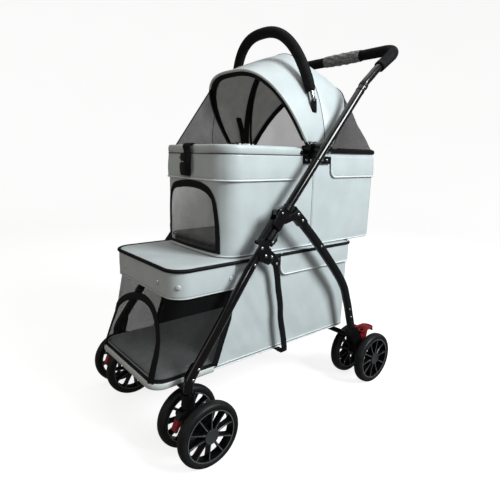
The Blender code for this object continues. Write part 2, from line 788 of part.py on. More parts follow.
def build_push_tube(side_name, side):
    """The push tube with its pivot tongue and the socket that the carrier's boss meets."""
    x = side * TRACK_X
    fold = along(*FOLD_PIVOT)
    start = in_plane(x, along(GAP, 0.0))
    end = in_plane(x, along(PUSH_LENGTH, 0.0))
    body = cylinder(start, end, TUBE_RADIUS, 12)
    part = place(f"push_tube_{side_name}", body, GLOSS_BLACK, origin=in_plane(x, fold))
    neck = (along(TONGUE_NECK, -0.005), along(TONGUE_NECK + 0.012, 0.006))
    outline = hull((fold, TONGUE_RADIUS), *((point, 0.002) for point in neck), sides=14)
    fuse(part, plate(outline, x - TONGUE_HALF, x + TONGUE_HALF))
    pin = PIVOT_PIN_RADIUS + BORE_GAP
    cut(part, cylinder(in_plane(x - 0.02, fold), in_plane(x + 0.02, fold), pin, 12))
    centre = socket_centre()
    inner = x - side * (TUBE_RADIUS + SOCKET_DEPTH)
    fuse(part, cylinder(in_plane(inner, centre), in_plane(x, centre), SOCKET_RADIUS, 16))
    button = along(PUSH_LENGTH - 0.014, 0.0)
    fuse(part, rivet(x + side * TUBE_RADIUS, button, side, BUTTON_RADIUS, 0.002))


def socket_centre():
    """Where the push tube passes the carrier's rim."""
    reach = (SOCKET_Z - JOINT[1]) / math.sin(JOINT_SLOPE)
    return along(reach, 0.0)


def build_fold_lock(side_name, side):
    """A sleeve with a finger wing that slides down the leg to free the fold."""
    x = side * TRACK_X
    inner = (TUBE_RADIUS + GAP) / math.cos(math.pi / 14)
    top = in_plane(x, along(-LOCK_START, 0.0))
    foot = in_plane(x, along(-LOCK_START - LOCK_LENGTH, 0.0))
    body = cylinder(foot, top, inner + LOCK_WALL, 14)
    sleeve = place(f"fold_lock_{side_name}", body, SATIN_BLACK, origin=top)
    wing = [
        along(-LOCK_START - s, t)
        for s, t in ((0.004, -0.010), (0.004, -0.019), (0.010, -0.024), (0.034, -0.020), (0.036, -0.010))
    ]
    fuse(sleeve, plate(wing, x - 0.006, x + 0.006))
    cut(
        sleeve,
        cylinder(in_plane(x, along(-0.13, 0.0)), in_plane(x, along(0.0, 0.0)), inner, 14),
    )


def build_front_frame():
    for side_name, side in SIDES:
        x = side * TRACK_X
        route = [point + Vector((x, 0, 0)) for point in map(Vector, front_leg_points())]
        leg = place(f"front_leg_{side_name}", tube(route, TUBE_RADIUS, 2), GLOSS_BLACK, 50)
        for point in FLOOR_BAR_RIVETS:
            fuse(leg, rivet(x + side * TUBE_RADIUS, point, side, 0.0035))
        notch = circle(along(*FOLD_PIVOT), TONGUE_RADIUS + TURN_GAP, 14)
        cut(leg, plate(notch, x - 0.02, x + 0.02))
        build_knuckle(side_name, x)
        build_push_tube(side_name, side)
        build_fold_lock(side_name, side)
    build_floor_bar()
    build_hanger()


def build_floor_bar():
    """A flat bar under the basket's front, with an ear up each front leg."""
    outer = TRACK_X - TUBE_RADIUS - GAP
    top = BASKET_FLOOR_Z - GAP
    low = top - FLOOR_BAR_THICKNESS
    half = STRAP_WIDTH / 2
    bar = place(
        "front_floor_bar",
        box((-outer, FLOOR_BAR_Y - half, low), (outer, FLOOR_BAR_Y + half, top)),
        GLOSS_BLACK,
    )
    foot = (FLOOR_BAR_Y, low + 0.010)
    ear = hull((foot, half - 0.001), *((point, 0.009) for point in FLOOR_BAR_RIVETS), sides=10)
    ear = [(y, max(z, low)) for y, z in ear]
    for _, side in SIDES:
        low_x, high_x = sorted((side * (outer - STRAP_THICKNESS), side * outer))
        fuse(bar, plate(ear, low_x, high_x))


def ribbon(route, width):
    """The outline of a flat strap of this width along (y, z) points."""
    vectors = [Vector(point) for point in route]
    left = []
    right = []
    for index, point in enumerate(vectors):
        before = vectors[max(index - 1, 0)]
        after = vectors[min(index + 1, len(vectors) - 1)]
        across = (after - before).normalized().orthogonal() * width / 2
        left.append(tuple(point + across))
        right.append(tuple(point - across))
    return left + right[::-1]


def build_hanger():
    """Side brackets on the front legs, with link bars down to a bar under the basket."""
    bracket_outer = TRACK_X - TUBE_RADIUS - GAP
    bracket_inner = bracket_outer - STRAP_THICKNESS
    link_outer = bracket_inner - 0.001
    link_inner = link_outer - STRAP_THICKNESS
    top = BASKET_FLOOR_Z - GAP
    low = top - FLOOR_BAR_THICKNESS
    half = STRAP_WIDTH / 2
    hanger = place(
        "basket_hanger",
        box(
            (-link_outer, HANGER_FOOT_Y - half, low), (link_outer, HANGER_FOOT_Y + half, top)
        ),
        SATIN_BLACK,
    )
    bracket = hull(
        (HANGER_RIVETS[0], 0.010), (HANGER_RIVETS[2], 0.013), (HANGER_PIVOT, 0.012), sides=10
    )
    route = [tuple(point) for point in smooth([(*point, 0.0) for point in HANGER_ROUTE], 2)]
    route = [(y, z) for y, z, _ in route] + [(HANGER_FOOT_Y, low + 0.0005)]
    link = ribbon(route, STRAP_WIDTH)
    for _, side in SIDES:
        low_x, high_x = sorted((side * bracket_inner, side * bracket_outer))
        fuse(hanger, plate(bracket, low_x, high_x))
        low_x, high_x = sorted((side * link_inner, side * link_outer))
        fuse(hanger, plate(link, low_x, high_x), plate(circle(HANGER_PIVOT, half), low_x, high_x))
        pin = cylinder(
            in_plane(side * (link_inner - RIVET_RISE), HANGER_PIVOT),
            in_plane(side * (bracket_outer + RIVET_RISE), HANGER_PIVOT),
            RIVET_RADIUS,
            8,
        )
        fuse(hanger, pin)
        for point in HANGER_RIVETS[1:]:
            fuse(hanger, rivet(side * bracket_outer, point, side, 0.0035, 0.0012))


def bar_route():
    """The handle bar from one push tube, round both corners, to the other."""
    start = along(PUSH_LENGTH + GAP, 0.0)
    knee = BAR_KNEE
    rise = Vector((BAR_Y - knee[0], BAR_Z - knee[1])).normalized()
    half = [in_plane(TRACK_X, start), in_plane(TRACK_X, along(PUSH_LENGTH + 0.012, 0.0))]
    half.append(in_plane(TRACK_X, (knee[0] - 0.026, knee[1] - 0.022)))
    half.append(in_plane(TRACK_X, knee))
    corner = Vector(in_plane(TRACK_X, (BAR_Y, BAR_Z)))
    arm = Vector((0.0, *rise))
    for step in range(6):
        angle = math.radians(18.0 * step)
        inward = Vector((-1.0, 0.0, 0.0)) * BAR_CORNER * (1 - math.cos(angle))
        back = arm * BAR_CORNER * (math.sin(angle) - 1)
        half.append(corner + inward + back)
    left = [Vector(point) for point in half]
    right = [Vector((-point.x, point.y, point.z)) for point in reversed(left)]
    return left + right


def build_handle():
    route = bar_route()
    fold = in_plane(0.0, along(*FOLD_PIVOT))
    place("handle_bar", tube(route, TUBE_RADIUS, 2), GLOSS_BLACK, 50, fold)
    covered = route[3:-3]
    grip = place("handle_grip", tube(covered, GRIP_RADIUS, 2), FOAM, 50, fold)
    first = covered[0] + (covered[0] - covered[1]).normalized() * 0.01
    last = covered[-1] + (covered[-1] - covered[-2]).normalized() * 0.01
    cut(grip, tube([first, *covered, last], TUBE_RADIUS + GAP, 2))


def basket_section():
    """The side outline of the basket's front face, from the floor to the deck."""
    floor_top = BASKET_FLOOR_Z + FLOOR_THICKNESS + GAP
    return (
        (BASKET_FRONT_Y + 0.004, floor_top),
        (FACE_KNEE[0], FACE_KNEE[1]),
        (DECK_FRONT_Y + HEM_WALL + 0.001, HEM_BOTTOM_Z),
        (DECK_FRONT_Y + HEM_WALL + 0.001, DECK_TOP_Z - DECK_THICKNESS - GAP),
    )


def basket_rows(inset):
    """Plan outlines of the basket wall at each height of its section."""
    rows = []
    for front_y, z in basket_section():
        plan = rounded_outline(
            BASKET_HALF - inset,
            front_y + inset,
            BASKET_REAR_Y - inset,
            BASKET_CORNER,
            BASKET_REAR_CORNER,
            4,
        )
        rows.append([(x, y, z) for x, y in plan])
    return rows


def window_cutter(shift, floor_z):
    """Everything in front of the slanted rear edge of the side windows."""
    foot = WINDOW_FOOT_Y + shift
    top = WINDOW_TOP_Y + shift
    ahead = BASKET_FRONT_Y - 0.1
    outline = [
        (foot, floor_z),
        (top, HEM_BOTTOM_Z),
        (top, DECK_TOP_Z),
        (ahead, DECK_TOP_Z),
        (ahead, floor_z),
    ]
    return plate(outline, -2 * BASKET_HALF, 2 * BASKET_HALF)


def build_basket():
    plan = rounded_outline(
        BASKET_HALF, BASKET_FRONT_Y, BASKET_REAR_Y, BASKET_CORNER, BASKET_REAR_CORNER, 5
    )
    top = BASKET_FLOOR_Z + FLOOR_THICKNESS
    rows = [[(x, y, z) for x, y in plan] for z in (BASKET_FLOOR_Z, top)]
    place("basket_floor", loft(rows, True, True, True), GREY_LEATHER)

    shell = place("basket_shell", solid_mesh(loft(basket_rows(0.0), True), BASKET_WALL), GREY_LEATHER)
    cut(shell, window_cutter(0.0, BASKET_FLOOR_Z))
    mesh = place("basket_mesh", solid_mesh(loft(basket_rows(0.0), True), MESH_WALL), BLACK_MESH)
    combine(mesh, "INTERSECT", window_cutter(-GAP, top + GAP))
    build_deck()


def build_deck():
    """The padded deck, with a hem that hangs round its front and has pearl snaps."""
    sizes = (DECK_HALF, DECK_FRONT_Y, BASKET_REAR_Y + DECK_OVERHANG, DECK_CORNER, DECK_REAR_CORNER)
    plan = rounded_outline(*sizes)
    edge = rounded_outline(*sizes, inset=DECK_BEVEL)
    under = DECK_TOP_Z - DECK_THICKNESS
    rows = [[(x, y, z) for x, y in plan] for z in (under, DECK_TOP_Z - DECK_BEVEL)]
    rows.append([(x, y, DECK_TOP_Z) for x, y in edge])
    deck = place("basket_deck", loft(rows, True, True, True), GREY_LEATHER)
    skirt = [[(x, y, z) for x, y in plan] for z in (HEM_BOTTOM_Z, under + 0.004)]
    hem = as_tool(solid_mesh(loft(skirt, True), HEM_WALL), "hem_band")
    rear = hem.modifiers.new("end", "BOOLEAN")
    rear.operation = "DIFFERENCE"
    behind = box(
        (-2 * DECK_HALF, HEM_REAR_Y, HEM_BOTTOM_Z - 0.01),
        (2 * DECK_HALF, BASKET_REAR_Y + 0.1, DECK_TOP_Z + 0.01),
    )
    rear.object = as_tool(behind, "hem_end")
    modifier = deck.modifiers.new("hem", "BOOLEAN")
    modifier.operation = "UNION"
    modifier.object = hem
    for _, side in SIDES:
        for y in SIDE_SNAPS_Y:
            fuse(deck, rivet(side * DECK_HALF, (y, SNAP_Z), side, SNAP_RADIUS))
        x = side * FRONT_SNAP_X
        inner = (x, DECK_FRONT_Y + 0.002, SNAP_Z)
        outer = (x, DECK_FRONT_Y - RIVET_RISE, SNAP_Z)
        fuse(deck, cylinder(inner, outer, SNAP_RADIUS, 8, SNAP_RADIUS * 0.7))


def carrier_plan(inset, steps=5):
    return rounded_outline(
        CARRIER_HALF,
        CARRIER_FRONT_Y,
        CARRIER_REAR_Y,
        CARRIER_FRONT_CORNER,
        CARRIER_REAR_CORNER,
        steps,
        inset,
    )


def arch_outline(shrink):
    """The (x, z) outline of the front door: an arch, wider towards the right."""
    left = DOOR_LEFT_X - shrink
    right = DOOR_RIGHT_X + shrink
    top = DOOR_TOP_Z - shrink
    low = DOOR_BOTTOM_Z + shrink
    radius = DOOR_CORNER
    found = [(right, low), (left, low)]
    for centre_x, start in ((left - radius, 0), (right + radius, 90)):
        for step in range(5):
            angle = math.radians(start + 22.5 * step)
            x = centre_x + radius * math.cos(angle)
            found.append((x, top - radius + radius * math.sin(angle)))
    return found


def door_cutter(shrink):
    front = CARRIER_FRONT_Y - 0.02
    rear = CARRIER_FRONT_Y + CARRIER_FRONT_CORNER
    rows = [[(x, y, z) for x, z in arch_outline(shrink)] for y in (front, rear)]
    return loft(rows, True, True, True)


def build_carrier():
    bottom = DECK_TOP_Z + GAP
    levels = (
        (bottom, 0.003),
        (bottom + PIPING_RISE, 0.0),
        (HEM_Z, 0.0),
        (HEM_Z + 0.003, -HEM_OUTSET),
        (CARRIER_TOP_Z, -HEM_OUTSET),
    )
    rows = [[(x, y, z) for x, y in carrier_plan(inset)] for z, inset in levels]
    shell = place("carrier_shell", solid_mesh(loft(rows, True, True), CARRIER_WALL), GREY_LEATHER)
    cut(shell, door_cutter(0.0))

    heights = (DOOR_BOTTOM_Z - 0.01, DOOR_TOP_Z + 0.01)
    middle = [[(x, y, z) for x, y in carrier_plan(DOOR_INSET)] for z in heights]
    door = place("carrier_door", solid_mesh(loft(middle, True), MESH_WALL), BLACK_MESH)
    combine(door, "INTERSECT", door_cutter(DOOR_GAP))

    build_pad(bottom + CARRIER_WALL + GAP)
    build_rim()
    build_strap()


def build_pad(low):
    """The floor cushion: drawn-in edges and a crown."""
    inset = CARRIER_WALL + PAD_INSET
    edge = low + PAD_THICKNESS
    middle = (CARRIER_FRONT_Y + CARRIER_REAR_Y) / 2
    levels = (
        (low, inset + PAD_EDGE / 2, 1.0),
        (low + PAD_EDGE, inset, 1.0),
        (edge - PAD_EDGE, inset, 1.0),
        (edge, inset + PAD_EDGE, 1.0),
        (edge + 0.65 * PAD_CROWN, inset + PAD_EDGE, 0.82),
        (edge + PAD_CROWN, inset + PAD_EDGE, 0.5),
    )
    rows = []
    for z, inward, share in levels:
        plan = carrier_plan(inward, 4)
        rows.append([(x * share, middle + (y - middle) * share, z) for x, y in plan])
    place("carrier_floor_pad", loft(rows, True, True, True), DARK_PAD)


def build_rim():
    """The black rim tube, with a hub bracket, bow pins and a socket boss on each side."""
    z = CARRIER_TOP_Z + GAP + RIM_RADIUS
    loop = [(x, y, z) for x, y in carrier_plan(RIM_RADIUS - HEM_OUTSET + RIM_INSET)]
    rim = place("carrier_rim", tube(loop, RIM_RADIUS, 2, True), GLOSS_BLACK, 50)
    face = CARRIER_HALF + HEM_OUTSET + GAP
    for _, side in SIDES:
        low_x, high_x = sorted((side * (CARRIER_HALF - 0.002), side * HUB_OUTER_X))
        low = (low_x, HUB_FRONT_Y, CARRIER_TOP_Z + GAP)
        fuse(rim, box(low, (high_x, HUB_REAR_Y, HUB_TOP_Z)))
        low_x, high_x = sorted((side * face, side * (face + HUB_PLATE_THICKNESS)))
        low = (low_x, PLATE_FRONT_Y, HUB_PLATE_Z)
        fuse(rim, box(low, (high_x, PLATE_REAR_Y, CARRIER_TOP_Z + 0.004)))
        for step in range(PLATE_RIVETS):
            y = PLATE_FRONT_Y + (PLATE_REAR_Y - PLATE_FRONT_Y) * (step + 0.5) / PLATE_RIVETS
            point = (y, HUB_PLATE_Z + 0.011)
            fuse(rim, rivet(side * (face + HUB_PLATE_THICKNESS), point, side, 0.0035))
        for y in (FRONT_BOW_Y, REAR_BOW_Y):
            start = in_plane(side * (HUB_OUTER_X - 0.002), (y, BOW_PIVOT_Z))
            end = in_plane(side * (BOW_HALF + BOW_RADIUS + 0.001), (y, BOW_PIVOT_Z))
            fuse(rim, cylinder(start, end, BOW_PIN_RADIUS, 10))
        socket = socket_centre()
        inner = TRACK_X - TUBE_RADIUS - SOCKET_DEPTH - GAP
        start = in_plane(side * (HUB_OUTER_X - 0.002), socket)
        fuse(rim, cylinder(start, in_plane(side * inner, socket), SOCKET_BOSS_RADIUS, 16))


def build_strap():
    """A webbing strap over the front rim, with a side-release buckle."""
    face = CARRIER_FRONT_Y - HEM_OUTSET - GAP
    webbing = box(
        (STRAP_X - STRAP_HALF, face - STRAP_WEB, STRAP_LOW_Z),
        (STRAP_X + STRAP_HALF, face, STRAP_TOP_Z),
    )
    strap = place("front_buckle", webbing, BLACK_TAPE)
    front = face - BUCKLE_THICKNESS
    middle = BUCKLE_Z
    outline = [
        (-BUCKLE_HALF, middle + BUCKLE_HEIGHT / 2),
        (-BUCKLE_HALF, middle - 0.002),
        (-BUCKLE_HALF + 0.003, middle - 0.010),
        (-BUCKLE_HALF + 0.001, middle - BUCKLE_HEIGHT / 2),
    ]
    whole = [(STRAP_X + x, z) for x, z in outline]
    whole += [(STRAP_X - x, z) for x, z in reversed(outline)]
    rows = [[(x, y, z) for x, z in whole] for y in (front, face - 0.001)]
    fuse(strap, loft(rows, True, True, True))


def arch_row(half, base, top, power, sides=ARCH_SIDES, low=0.0):
    """Points of a superellipse arch from the left foot over the top to the right foot."""
    found = []
    for step in range(sides + 1):
        angle = math.pi * step / sides
        cosine = math.cos(angle)
        x = half * math.copysign(abs(cosine) ** (2 / power), cosine)
        rise = low + (1 - low) * math.sin(angle) ** (2 / power) if 0 < step < sides else low
        found.append((x, base[0] + (top[0] - base[0]) * rise, base[1] + (top[1] - base[1]) * rise))
    return found


def bow_mesh(base_y, top, power):
    row = arch_row(BOW_HALF, (base_y, BOW_PIVOT_Z), top, power, BOW_SIDES)
    return tube(row, BOW_RADIUS, 1)


def lug_plate(side, y):
    """The round end of a bow, with the hole for its pin."""
    low_x, high_x = sorted((side * (HUB_OUTER_X + 0.0005), side * (BOW_HALF + BOW_RADIUS)))
    return plate(circle((y, BOW_PIVOT_Z), 0.0075, 14), low_x, high_x)


def pin_hole(side, y):
    centre = (y, BOW_PIVOT_Z)
    return cylinder(
        in_plane(side * (HUB_OUTER_X - 0.001), centre),
        in_plane(side * (BOW_HALF + 0.02), centre),
        BOW_PIN_RADIUS + BORE_GAP,
        12,
    )


def build_bows():
    hoop = bow_mesh(FRONT_BOW_Y, FRONT_BOW_TOP, EDGE_BOW_POWER)
    turn = (0.0, FRONT_BOW_Y, BOW_PIVOT_Z)
    front = place("canopy_front_bow", hoop, SATIN_BLACK, 60, turn)
    hoop = bow_mesh(REAR_BOW_Y, REAR_BOW_TOP, EDGE_BOW_POWER)
    fixed = place("canopy_fixed_bows", hoop, SATIN_BLACK, 60)
    fuse(fixed, bow_mesh(REAR_BOW_Y - RIDGE_FOOT_AHEAD, RIDGE_BOW_TOP, RIDGE_BOW_POWER))
    for _, side in SIDES:
        fuse(front, lug_plate(side, FRONT_BOW_Y))
        cut(front, pin_hole(side, FRONT_BOW_Y))
        fuse(fixed, lug_plate(side, REAR_BOW_Y))
        cut(fixed, pin_hole(side, REAR_BOW_Y))


def canopy_row(share, end):
    """The cloth's arch at a share of the way from the front or rear edge to the ridge."""
    skin = BOW_RADIUS + CLOTH_THICKNESS + CLOTH_GAP
    if end == "front":
        base_y, edge_top, seam = FRONT_BOW_Y - 0.010, FRONT_BOW_TOP, -SEAM_GAP / 2
        edge_y = edge_top[0] - 0.003
    else:
        base_y, edge_top, seam = REAR_BOW_Y + 0.010, REAR_BOW_TOP, SEAM_GAP / 2
        edge_y = edge_top[0] + 0.003
    ridge_base = RIDGE_BOW_Y + seam
    ridge_top = RIDGE_BOW_TOP[0] + seam
    y = edge_y + (ridge_top - edge_y) * share
    rise = edge_top[1] + (RIDGE_BOW_TOP[1] - edge_top[1]) * share
    rise += skin + CLOTH_BULGE * math.sin(math.pi * share)
    power = EDGE_BOW_POWER + (RIDGE_BOW_POWER - EDGE_BOW_POWER) * share
    foot = base_y + (ridge_base - base_y) * share
    half = BOW_HALF + skin + 0.001
    return arch_row(half, (foot, CLOTH_BASE_Z), (y, rise), power)


def build_canopy():
    shares = (0.0, 0.25, 0.5, 0.75, 1.0)
    front = loft([canopy_row(share, "front") for share in shares])
    cloth = place("canopy_front", solid_mesh(front, CLOTH_THICKNESS), GREY_LEATHER, 60)
    for _, side in SIDES:
        low_x, high_x = sorted((side * SLOT_INNER_X, side * SLOT_OUTER_X))
        low = (low_x, SLOT_Y - SLOT_HALF, SLOT_LOW_Z)
        cut(cloth, box(low, (high_x, SLOT_Y + SLOT_HALF, SLOT_HIGH_Z)))
    rear = loft([canopy_row(share, "rear") for share in shares[::-1]])
    place("canopy_rear", solid_mesh(rear, CLOTH_THICKNESS), GREY_LEATHER, 60)


def build_nets():
    """The rear mesh from the rear bow to the rim, and the one raised side mesh at the front."""
    upper = [(x * 0.99, y + NET_SEAM, z) for x, y, z in canopy_row(0.0, "rear")]
    foot_z = CARRIER_TOP_Z + 2 * RIM_RADIUS + 3 * GAP
    half = CARRIER_HALF - 0.001
    rear = CARRIER_REAR_Y - 0.004
    start = REAR_BOW_Y + REAR_NET_START
    length = rear - start
    lower = []
    for step in range(ARCH_SIDES + 1):
        walk = (step / ARCH_SIDES) * (2 * length + 2 * half)
        if walk < length:
            lower.append((half, start + walk, foot_z))
        elif walk < length + 2 * half:
            lower.append((half - (walk - length), rear, foot_z))
        else:
            lower.append((-half, rear - (walk - length - 2 * half), foot_z))
    place("rear_mesh", solid_mesh(loft([upper, lower]), MESH_WALL, False), BLACK_MESH, 60)

    inward = BOW_RADIUS + CLOTH_THICKNESS + 0.001
    bow = canopy_row(0.0, "front")[::-1][:8]
    inner = [(x + inward, y - SIDE_NET_AHEAD, z) for x, y, z in bow]
    first = FRONT_BOW_Y - 0.022
    rim_line = []
    for index in range(len(inner)):
        share = index / (len(inner) - 1)
        rim_line.append((0.006 * share - half, first + (SIDE_NET_FRONT_Y - first) * share, foot_z))
    inner[0] = (rim_line[0][0], inner[0][1], foot_z + 0.012)
    place("side_mesh", solid_mesh(loft([inner, rim_line]), MESH_WALL), BLACK_MESH, 60)


def carry_route():
    """The carry handle's centre line from the left hub over the top to the right hub."""
    foot_x, foot_y = CARRY_FOOT
    base_z = HUB_TOP_Z + 3 * GAP
    lean = (CARRY_TOP[0] - foot_y) / (CARRY_TOP[1] - base_z)
    points = []
    radii = []
    strap = CARRY_STRAP_RADIUS / CARRY_TUBE_RADIUS
    for x, z, factor in (
        (foot_x, base_z, strap),
        (foot_x, CARRY_EXIT_Z - 0.012, strap),
        (CARRY_HALF - 0.002, CARRY_EXIT_Z + 0.004, strap),
        (CARRY_HALF - 0.001, CARRY_EXIT_Z + 0.006, 1.0),
    ):
        points.append((x, foot_y + lean * (z - base_z), z))
        radii.append(factor)
    arch = arch_row(CARRY_HALF, (foot_y, base_z), CARRY_TOP, CARRY_POWER, 18)
    for point in arch:
        if point[2] > CARRY_EXIT_Z + 0.012 and point[0] > -0.0001:
            points.append(point)
            radii.append(1.0)
    mirrored = [(-x, y, z) for x, y, z in reversed(points[:-1])]
    return points + mirrored, radii + radii[:-1][::-1]


def build_carry_handle():
    points, radii = carry_route()
    place("carry_handle", tube(points, CARRY_TUBE_RADIUS, 2, radii=radii), GLOSS_BLACK, 60)
    covered = [Vector(point) for point in points if point[2] > CARRY_GRIP_Z]
    grip = place("carry_grip", tube(covered, CARRY_GRIP_RADIUS, 2), FOAM, 60)
    first = covered[0] + (covered[0] - covered[1]).normalized() * 0.01
    last = covered[-1] + (covered[-1] - covered[-2]).normalized() * 0.01
    cut(grip, tube([first, *covered, last], CARRY_TUBE_RADIUS + GAP, 2))


build_wheels()
build_front_casters()
build_rear_frame()
build_front_frame()
build_handle()
build_basket()
build_carrier()
build_bows()
build_canopy()
build_nets()
build_carry_handle()
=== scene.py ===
"""Dressed scene of the two-tier pet stroller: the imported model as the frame, with sewn soft goods and finishes."""

import math

import bmesh
import bpy
import numpy as np
from mathutils import Matrix, Vector, noise


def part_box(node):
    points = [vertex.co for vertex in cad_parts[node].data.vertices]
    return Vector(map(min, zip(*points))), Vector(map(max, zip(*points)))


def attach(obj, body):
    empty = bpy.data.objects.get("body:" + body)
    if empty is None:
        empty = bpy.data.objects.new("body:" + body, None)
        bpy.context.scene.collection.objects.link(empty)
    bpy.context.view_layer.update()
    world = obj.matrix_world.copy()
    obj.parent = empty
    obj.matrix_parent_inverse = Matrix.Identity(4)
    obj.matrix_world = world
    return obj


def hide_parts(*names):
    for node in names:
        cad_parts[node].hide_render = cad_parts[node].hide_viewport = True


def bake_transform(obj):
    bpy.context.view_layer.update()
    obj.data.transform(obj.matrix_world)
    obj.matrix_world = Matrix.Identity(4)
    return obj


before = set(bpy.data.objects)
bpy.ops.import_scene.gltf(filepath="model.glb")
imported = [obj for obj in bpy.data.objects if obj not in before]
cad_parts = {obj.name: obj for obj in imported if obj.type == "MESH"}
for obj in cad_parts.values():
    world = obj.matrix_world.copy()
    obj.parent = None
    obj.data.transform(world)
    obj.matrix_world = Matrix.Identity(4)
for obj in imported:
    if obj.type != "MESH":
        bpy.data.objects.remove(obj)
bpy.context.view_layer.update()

SIDES = (("left", 1), ("right", -1))

# Sizes shared with the CAD model, in metres
TRACK_X = 0.200
AXLE_Z = 0.080 * math.cos(math.pi / 24)
JOINT = (-0.062, 0.5526)
SLOPE = math.radians(49.5)
PUSH_LENGTH = 0.4514
TUBE_R = 0.011
BASKET = dict(half=0.1556, rear=0.275, front_corner=0.036, rear_corner=0.025)
DECK = dict(half=0.163, front=-0.348, rear=0.278, front_corner=0.044, rear_corner=0.028)
CARRIER = dict(half=0.147, front=-0.197, rear=0.393, front_corner=0.048, rear_corner=0.030)
BOW_HALF = 0.1655
BOW_PIVOT_Z = 0.722
CLOTH_BASE_Z = 0.7365
FRONT_HOOP = dict(foot=0.058, top=(-0.078, 0.910), power=2.8)
REAR_HOOP = dict(foot=0.144, top=(0.270, 0.910), power=2.4)
RIDGE = dict(foot=0.118, top=(0.100, 0.979), power=2.0)


# ---------------------------------------------------------------- materials
def fill(target, settings):
    """Sets a node's attributes, and its inputs where it has no such attribute."""
    for key, value in settings.items():
        if hasattr(target, key):
            setattr(target, key, value)
        else:
            target.inputs[key.replace("_", " ")].default_value = value
    return target


class Finish:
    """A procedural material in the making: its colour drifts from deep to tone, and its bumps build on each other."""

    def __init__(self, name, tone, rough, deep=None, drift=None, scale=(1, 1, 1), **sockets):
        self.made = bpy.data.materials.new(name)
        self.made.use_nodes = True
        self.shader = self.made.node_tree.nodes["Principled BSDF"]
        fill(self.shader, dict(Base_Color=(*tone, 1), Roughness=rough, **sockets))
        self.bumped = None
        self.vector = self.node("Mapping", self.node("TexCoord").outputs["Object"], Scale=scale).outputs["Vector"]
        if drift:
            size, low, high, detail = drift
            cloud = self.texture("Noise", Scale=size, Detail=detail)
            self.feed("Base Color", self.ramp(cloud, low, high, (deep, tone)).outputs["Color"])

    def link(self, source, target):
        self.made.node_tree.links.new(source, target)

    def feed(self, socket, source):
        self.link(source, self.shader.inputs[socket])

    def node(self, kind, *sources, **settings):
        found = fill(self.made.node_tree.nodes.new("ShaderNode" + kind), settings)
        for number, source in enumerate(sources):
            self.link(source, found.inputs[number])
        return found

    def texture(self, kind, **settings):
        found = self.node("Tex" + kind, self.vector, **settings)
        return found.outputs["Distance" if kind == "Voronoi" else "Fac"]

    def ramp(self, value, low, high, colours):
        found = self.node("ValToRGB", value)
        for stop, position, colour in zip(found.color_ramp.elements, (low, high), colours):
            stop.position = position
            stop.color = (*colour, 1)
        return found

    def remap(self, value, *limits):
        """The value mapped from its lowest and highest to two others."""
        words = ("From_Min", "From_Max", "To_Min", "To_Max")
        return self.node("MapRange", value, **dict(zip(words, limits))).outputs["Result"]

    def rough(self, size, low, high):
        self.feed("Roughness", self.remap(self.texture("Noise", Scale=size, Detail=2.0), 0.3, 0.7, low, high))

    def bump(self, height, strength, distance):
        found = self.node("Bump", Strength=strength, Distance=distance)
        self.link(height, found.inputs["Height"])
        if self.bumped:
            self.link(self.bumped.outputs["Normal"], found.inputs["Normal"])
        self.feed("Normal", found.outputs["Normal"])
        self.bumped = found


def leather(name, tone, deep):
    made = Finish(name, tone, 0.38, deep, (14.0, 0.35, 0.70, 4.0), Coat_Weight=0.14, Coat_Roughness=0.30,
                  Sheen_Weight=0.04)
    made.rough(60.0, 0.32, 0.46)
    made.bump(made.texture("Voronoi", Scale=900.0, feature="DISTANCE_TO_EDGE"), 0.22, 0.0004)
    made.bump(made.texture("Noise", Scale=38.0, Detail=3.0), 0.10, 0.004)
    return made.made


def woven(name, tone, deep, pitch, strength=0.6, rough=0.8, sheen=0.05, **sockets):
    """Plain weave: two sets of threads across each other."""
    made = Finish(name, tone, rough, deep, (40.0, 0.3, 0.7, 3.0), Sheen_Weight=sheen, Sheen_Roughness=0.4, **sockets)
    threads = [made.texture("Wave", Scale=1.0 / pitch / 20, bands_direction=direction, Distortion=0.4)
               for direction in ("DIAGONAL", "Z")]
    made.bump(made.node("Math", *threads, operation="MAXIMUM").outputs[0], strength, 0.0005)
    return made.made


def net(name, tone, low, high):
    """Hexagonal see-through net: threads stay, cells let light by."""
    made = Finish(name, tone, 0.75, Specular_IOR_Level=0.15)
    cells = made.texture("Voronoi", Scale=620.0, feature="DISTANCE_TO_EDGE", Randomness=0.65)
    fade = made.remap(cells, 0.10, 0.34, high, low)
    vary = made.remap(made.texture("Noise", Scale=9.0, Detail=2.0), 0.3, 0.7, 0.9, 1.1)
    made.feed("Alpha", made.node("Math", fade, vary, operation="MULTIPLY", use_clamp=True).outputs[0])
    made.bump(cells, 0.5, 0.0004)
    return made.made


def plastic(name, tone, deep, rough=(0.38, 0.52), grain=1400.0, strength=0.12, **sockets):
    made = Finish(name, tone, rough[0], deep, (25.0, 0.35, 0.75, 3.0), **sockets)
    made.rough(45.0, *rough)
    made.bump(made.texture("Noise", Scale=grain, Detail=2.0), strength, 0.0002)
    return made.made


def foam(name, tone, deep):
    made = Finish(name, tone, 0.78, deep, (90.0, 0.35, 0.7, 3.0), Specular_IOR_Level=0.16)
    made.bump(made.texture("Voronoi", Scale=1100.0), 0.5, 0.0005)
    made.bump(made.texture("Noise", Scale=70.0, Detail=2.0), 0.25, 0.002)
    return made.made


def rubber(name, tone, deep):
    made = Finish(name, tone, 0.42, deep, (55.0, 0.4, 0.8, 5.0), Specular_IOR_Level=0.26)
    made.rough(120.0, 0.38, 0.56)
    made.bump(made.texture("Noise", Scale=1600.0, Detail=2.0), 0.15, 0.0003)
    return made.made


def wrap_film(name, tone, deep):
    made = Finish(name, tone, 0.20, deep, (26.0, 0.30, 0.70, 2.0), (1.0, 3.0, 3.0), Alpha=0.62, Coat_Weight=0.5,
                  Coat_Roughness=0.08)
    made.bump(made.texture("Noise", Scale=60.0, Detail=3.0, Distortion=1.2), 0.35, 0.003)
    return made.made


